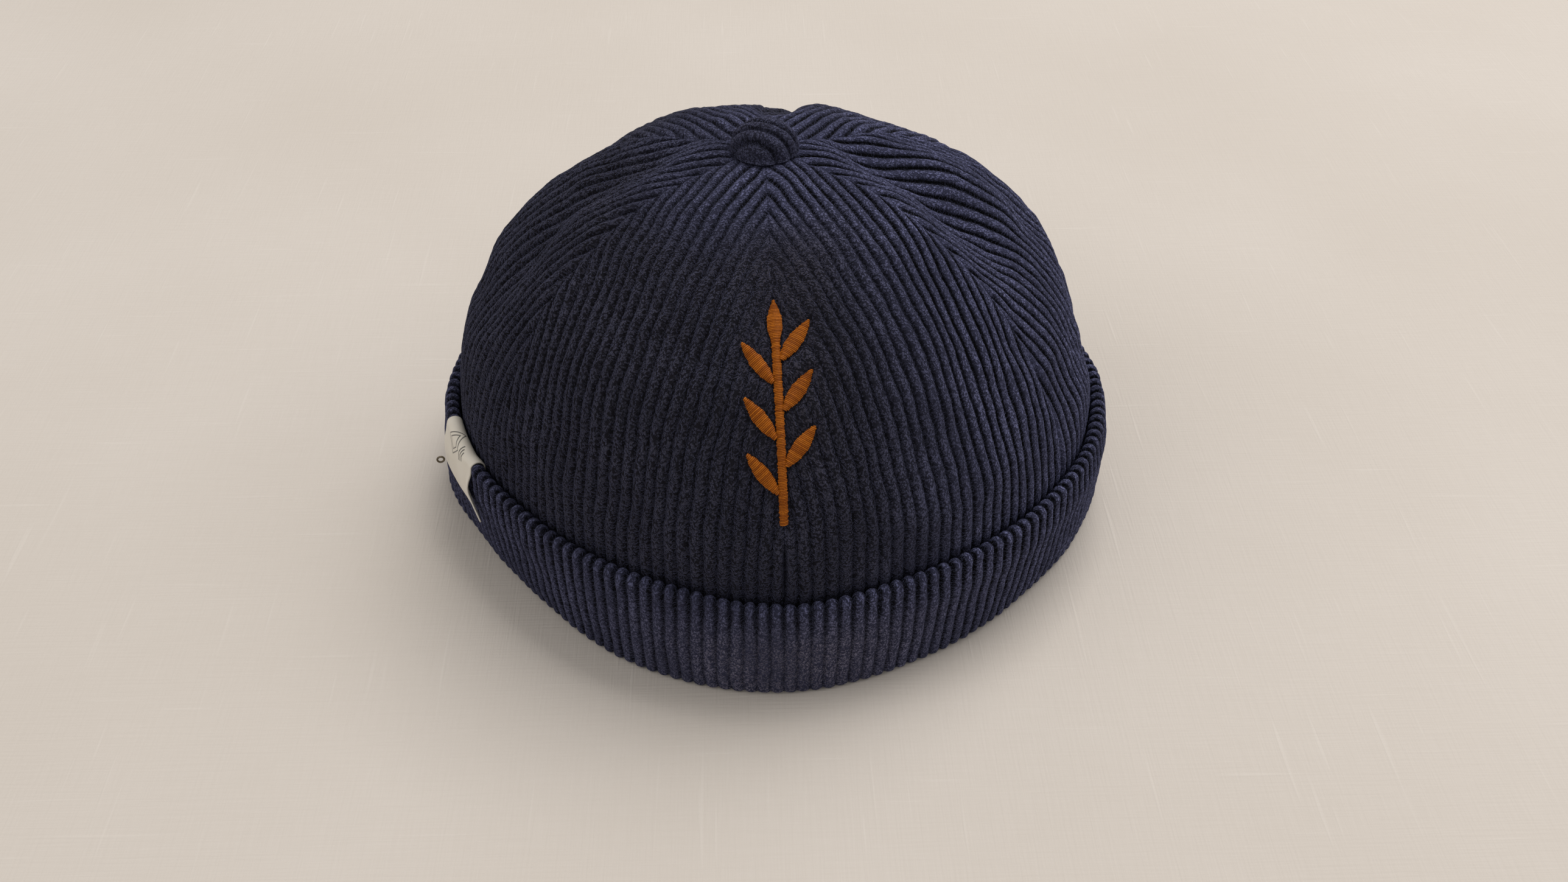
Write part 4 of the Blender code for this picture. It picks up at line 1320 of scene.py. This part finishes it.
def embroidery(material):
    """The sprig in satin stitch: threads side by side across its stem and leaves."""
    rng = np.random.default_rng(STITCH_SEED)
    places, reaches, outs = [], [], []
    for line, half, turn in sprig_lines():
        run = run_lengths(line)
        stops = np.arange(0.0, run[-1], STITCH_SPACING)
        centre = np.stack([np.interp(stops, run, line[:, k]) for k in (0, 1)], 1)
        ragged = rng.uniform(-STITCH_RAGGED, STITCH_RAGGED, len(stops))
        width = np.interp(stops, run, half) + ragged
        angle = math.radians(turn)
        ahead = np.array([math.cos(angle), math.sin(angle)])
        cross = np.array([ahead[1], -ahead[0]])
        ends = []
        for sign in (-1, 1):
            end = centre + sign * (cross * width[:, None]) + ahead * STITCH_SLANT * sign
            azimuth, rise = on_front(end[:, 0], end[:, 1])
            ends.append((crown(azimuth, rise), facing(crown, azimuth, rise)))
        (start, out_a), (finish, out_b) = ends
        out = unit(out_a + out_b)
        places.append((start + finish) / 2 - out * STITCH_SINK)
        reaches.append((finish - start) / 2)
        outs.append(out)
    places, reaches, outs = (np.concatenate(x) for x in (places, reaches, outs))
    obj = new_object("embroidery_thread", places, [], {"reach": reaches, "out": outs})
    sizes = {"Thread": THREAD_RADIUS, "Arch": THREAD_ARCH, "Seed": SHADE_SEED}
    apply_tree(obj, stitch_tree(), {**sizes, "Material": material})
    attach(obj, "root")
    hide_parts("embroidery")


def label(material):
    """The ribbon label, from between crown and cuff over the rolled edge and down the outside."""
    along = np.linspace(-0.5, 0.5, LABEL_COLUMNS)
    azimuth = LABEL_AZIMUTH + np.degrees(LABEL_LENGTH * along / CUFF_RADIUS)
    top = CUFF_RADIUS * plan_share("cuff", azimuth)
    half = CUFF_WALL / 2
    reach = half + LABEL_CLEARANCE
    rows = [(top - half - reach, top * 0 + CUFF_HEIGHT - CUFF_WALL, 0.0)]
    for turn in np.linspace(180, LABEL_LAST_TURN, LABEL_TURNS):
        angle = math.radians(turn)
        level = CUFF_HEIGHT - half + reach * math.sin(angle)
        rows.append((top - half + reach * math.cos(angle), top * 0 + level, 0.0))
    bow = LABEL_RISE * bell(along - RISE_AT, RISE_SPREAD)
    for step in range(1, LABEL_ROWS + 1):
        down = step / LABEL_ROWS
        z = CUFF_HEIGHT - half - (LABEL_DROP - half) * down * (1.0 - bow)
        clearance = LABEL_CLEARANCE + (LABEL_STANDOFF - LABEL_CLEARANCE) * smooth_step(2 * down)
        curl = LABEL_CURL * smooth_step((along - CURL_FROM) / CURL_SPAN) * smooth_step(down * 2)
        rows.append((cuff_face(azimuth, z) + clearance + curl, z, down))
    places, shifts = zip(*LABEL_EDGE)
    pull = smooth_step((along - PULL_FROM) / PULL_SPAN)
    points = np.stack([
        at(azimuth + np.degrees(np.interp(down, places, shifts) / CUFF_RADIUS) * pull, radius, z)
        for radius, z, down in rows
    ])
    run = row_lengths(points)
    across = np.broadcast_to(LABEL_LENGTH * along, run.shape)
    values = {"ribbon": np.stack([across, run, run * 0], -1)}
    faces = grid_faces(len(rows), LABEL_COLUMNS, flip=True)
    obj = new_object("label_ribbon", points, faces, values)
    obj.data.shade_smooth()
    obj.data.materials.append(material)
    thick = obj.modifiers.new("thickness", "SOLIDIFY")
    thick.thickness = LABEL_THICKNESS
    thick.offset = 0.0
    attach(obj, "root")
    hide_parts("label")


def wire_loop(material):
    """The loop is the frame's own piece in a new material."""
    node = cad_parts["label_pin"]
    node.data.materials.clear()
    node.data.materials.append(material)


def table(material):
    """The table cloth that the cap stands on."""
    corners = ((-1, -1), (1, -1), (1, 1), (-1, 1))
    points = [(x * TABLE_REACH, y * TABLE_REACH, -TABLE_DROP) for x, y in corners]
    obj = new_object("table_top", points, [(0, 1, 2, 3)])
    obj.data.materials.append(material)


# Light and camera


def area_light(name, place, target, size, power, colour):
    """A rectangular light that faces a target."""
    light = bpy.data.lights.new(name, "AREA")
    light.shape = "RECTANGLE"
    light.size, light.size_y = size
    light.energy = power
    light.color = colour
    obj = bpy.data.objects.new(name, light)
    obj.location = place
    obj.rotation_euler = (Vector(target) - Vector(place)).to_track_quat("-Z", "Y").to_euler()
    bpy.context.scene.collection.objects.link(obj)


def lights():
    """A pale world and the area lights."""
    world = bpy.data.worlds.new("studio")
    bpy.context.scene.world = world
    world.use_nodes = True
    shade = world.node_tree.nodes["Background"].inputs
    shade["Color"].default_value = WORLD_COLOUR
    shade["Strength"].default_value = WORLD_STRENGTH
    for name, values in AREA_LIGHTS.items():
        area_light(name, *values)
    bpy.context.scene.view_settings.view_transform = "Standard"


def swung(first, second, degrees):
    """Two axes at right angles, turned so that the first swings towards the second."""
    angle = math.radians(degrees)
    cosine, sine = math.cos(angle), math.sin(angle)
    return first * cosine + second * sine, second * cosine - first * sine


def camera():
    """The camera at the photograph's angle, found by fitting the cap's outline."""
    angle = math.radians(CAMERA_ELEVATION)
    place = Vector((0.0, -math.cos(angle), math.sin(angle))) * CAMERA_DISTANCE
    forward = Vector((0.0, math.cos(angle), -math.sin(angle)))
    right = Vector((1.0, 0.0, 0.0))
    up = right.cross(forward)
    forward, right = swung(forward, right, CAMERA_PAN)
    forward, up = swung(forward, up, CAMERA_TILT)
    right, up = swung(right, up, CAMERA_ROLL)
    matrix = Matrix((right, up, -forward)).transposed().to_4x4()
    matrix.translation = place
    data = bpy.data.cameras.new("camera")
    data.lens = CAMERA_LENS
    data.sensor_width = CAMERA_SENSOR
    obj = bpy.data.objects.new("camera", data)
    bpy.context.scene.collection.objects.link(obj)
    obj.matrix_world = Matrix.Rotation(-math.radians(CAMERA_YAW), 4, "Z") @ matrix
    bpy.context.scene.camera = obj


def build():
    """Every piece of the cap, the table, the lights and the camera."""
    corduroy = corduroy_material()
    ribs = rib_tree()
    for index, name in enumerate(PANEL_NAMES):
        panel(name, PANEL_TURN * index, ribs, corduroy)
    cuff(ribs, corduroy)
    button(ribs, corduroy)
    embroidery(thread_material())
    label(ribbon_material())
    wire_loop(wire_material())
    table(table_material())
    lights()
    camera()


build()
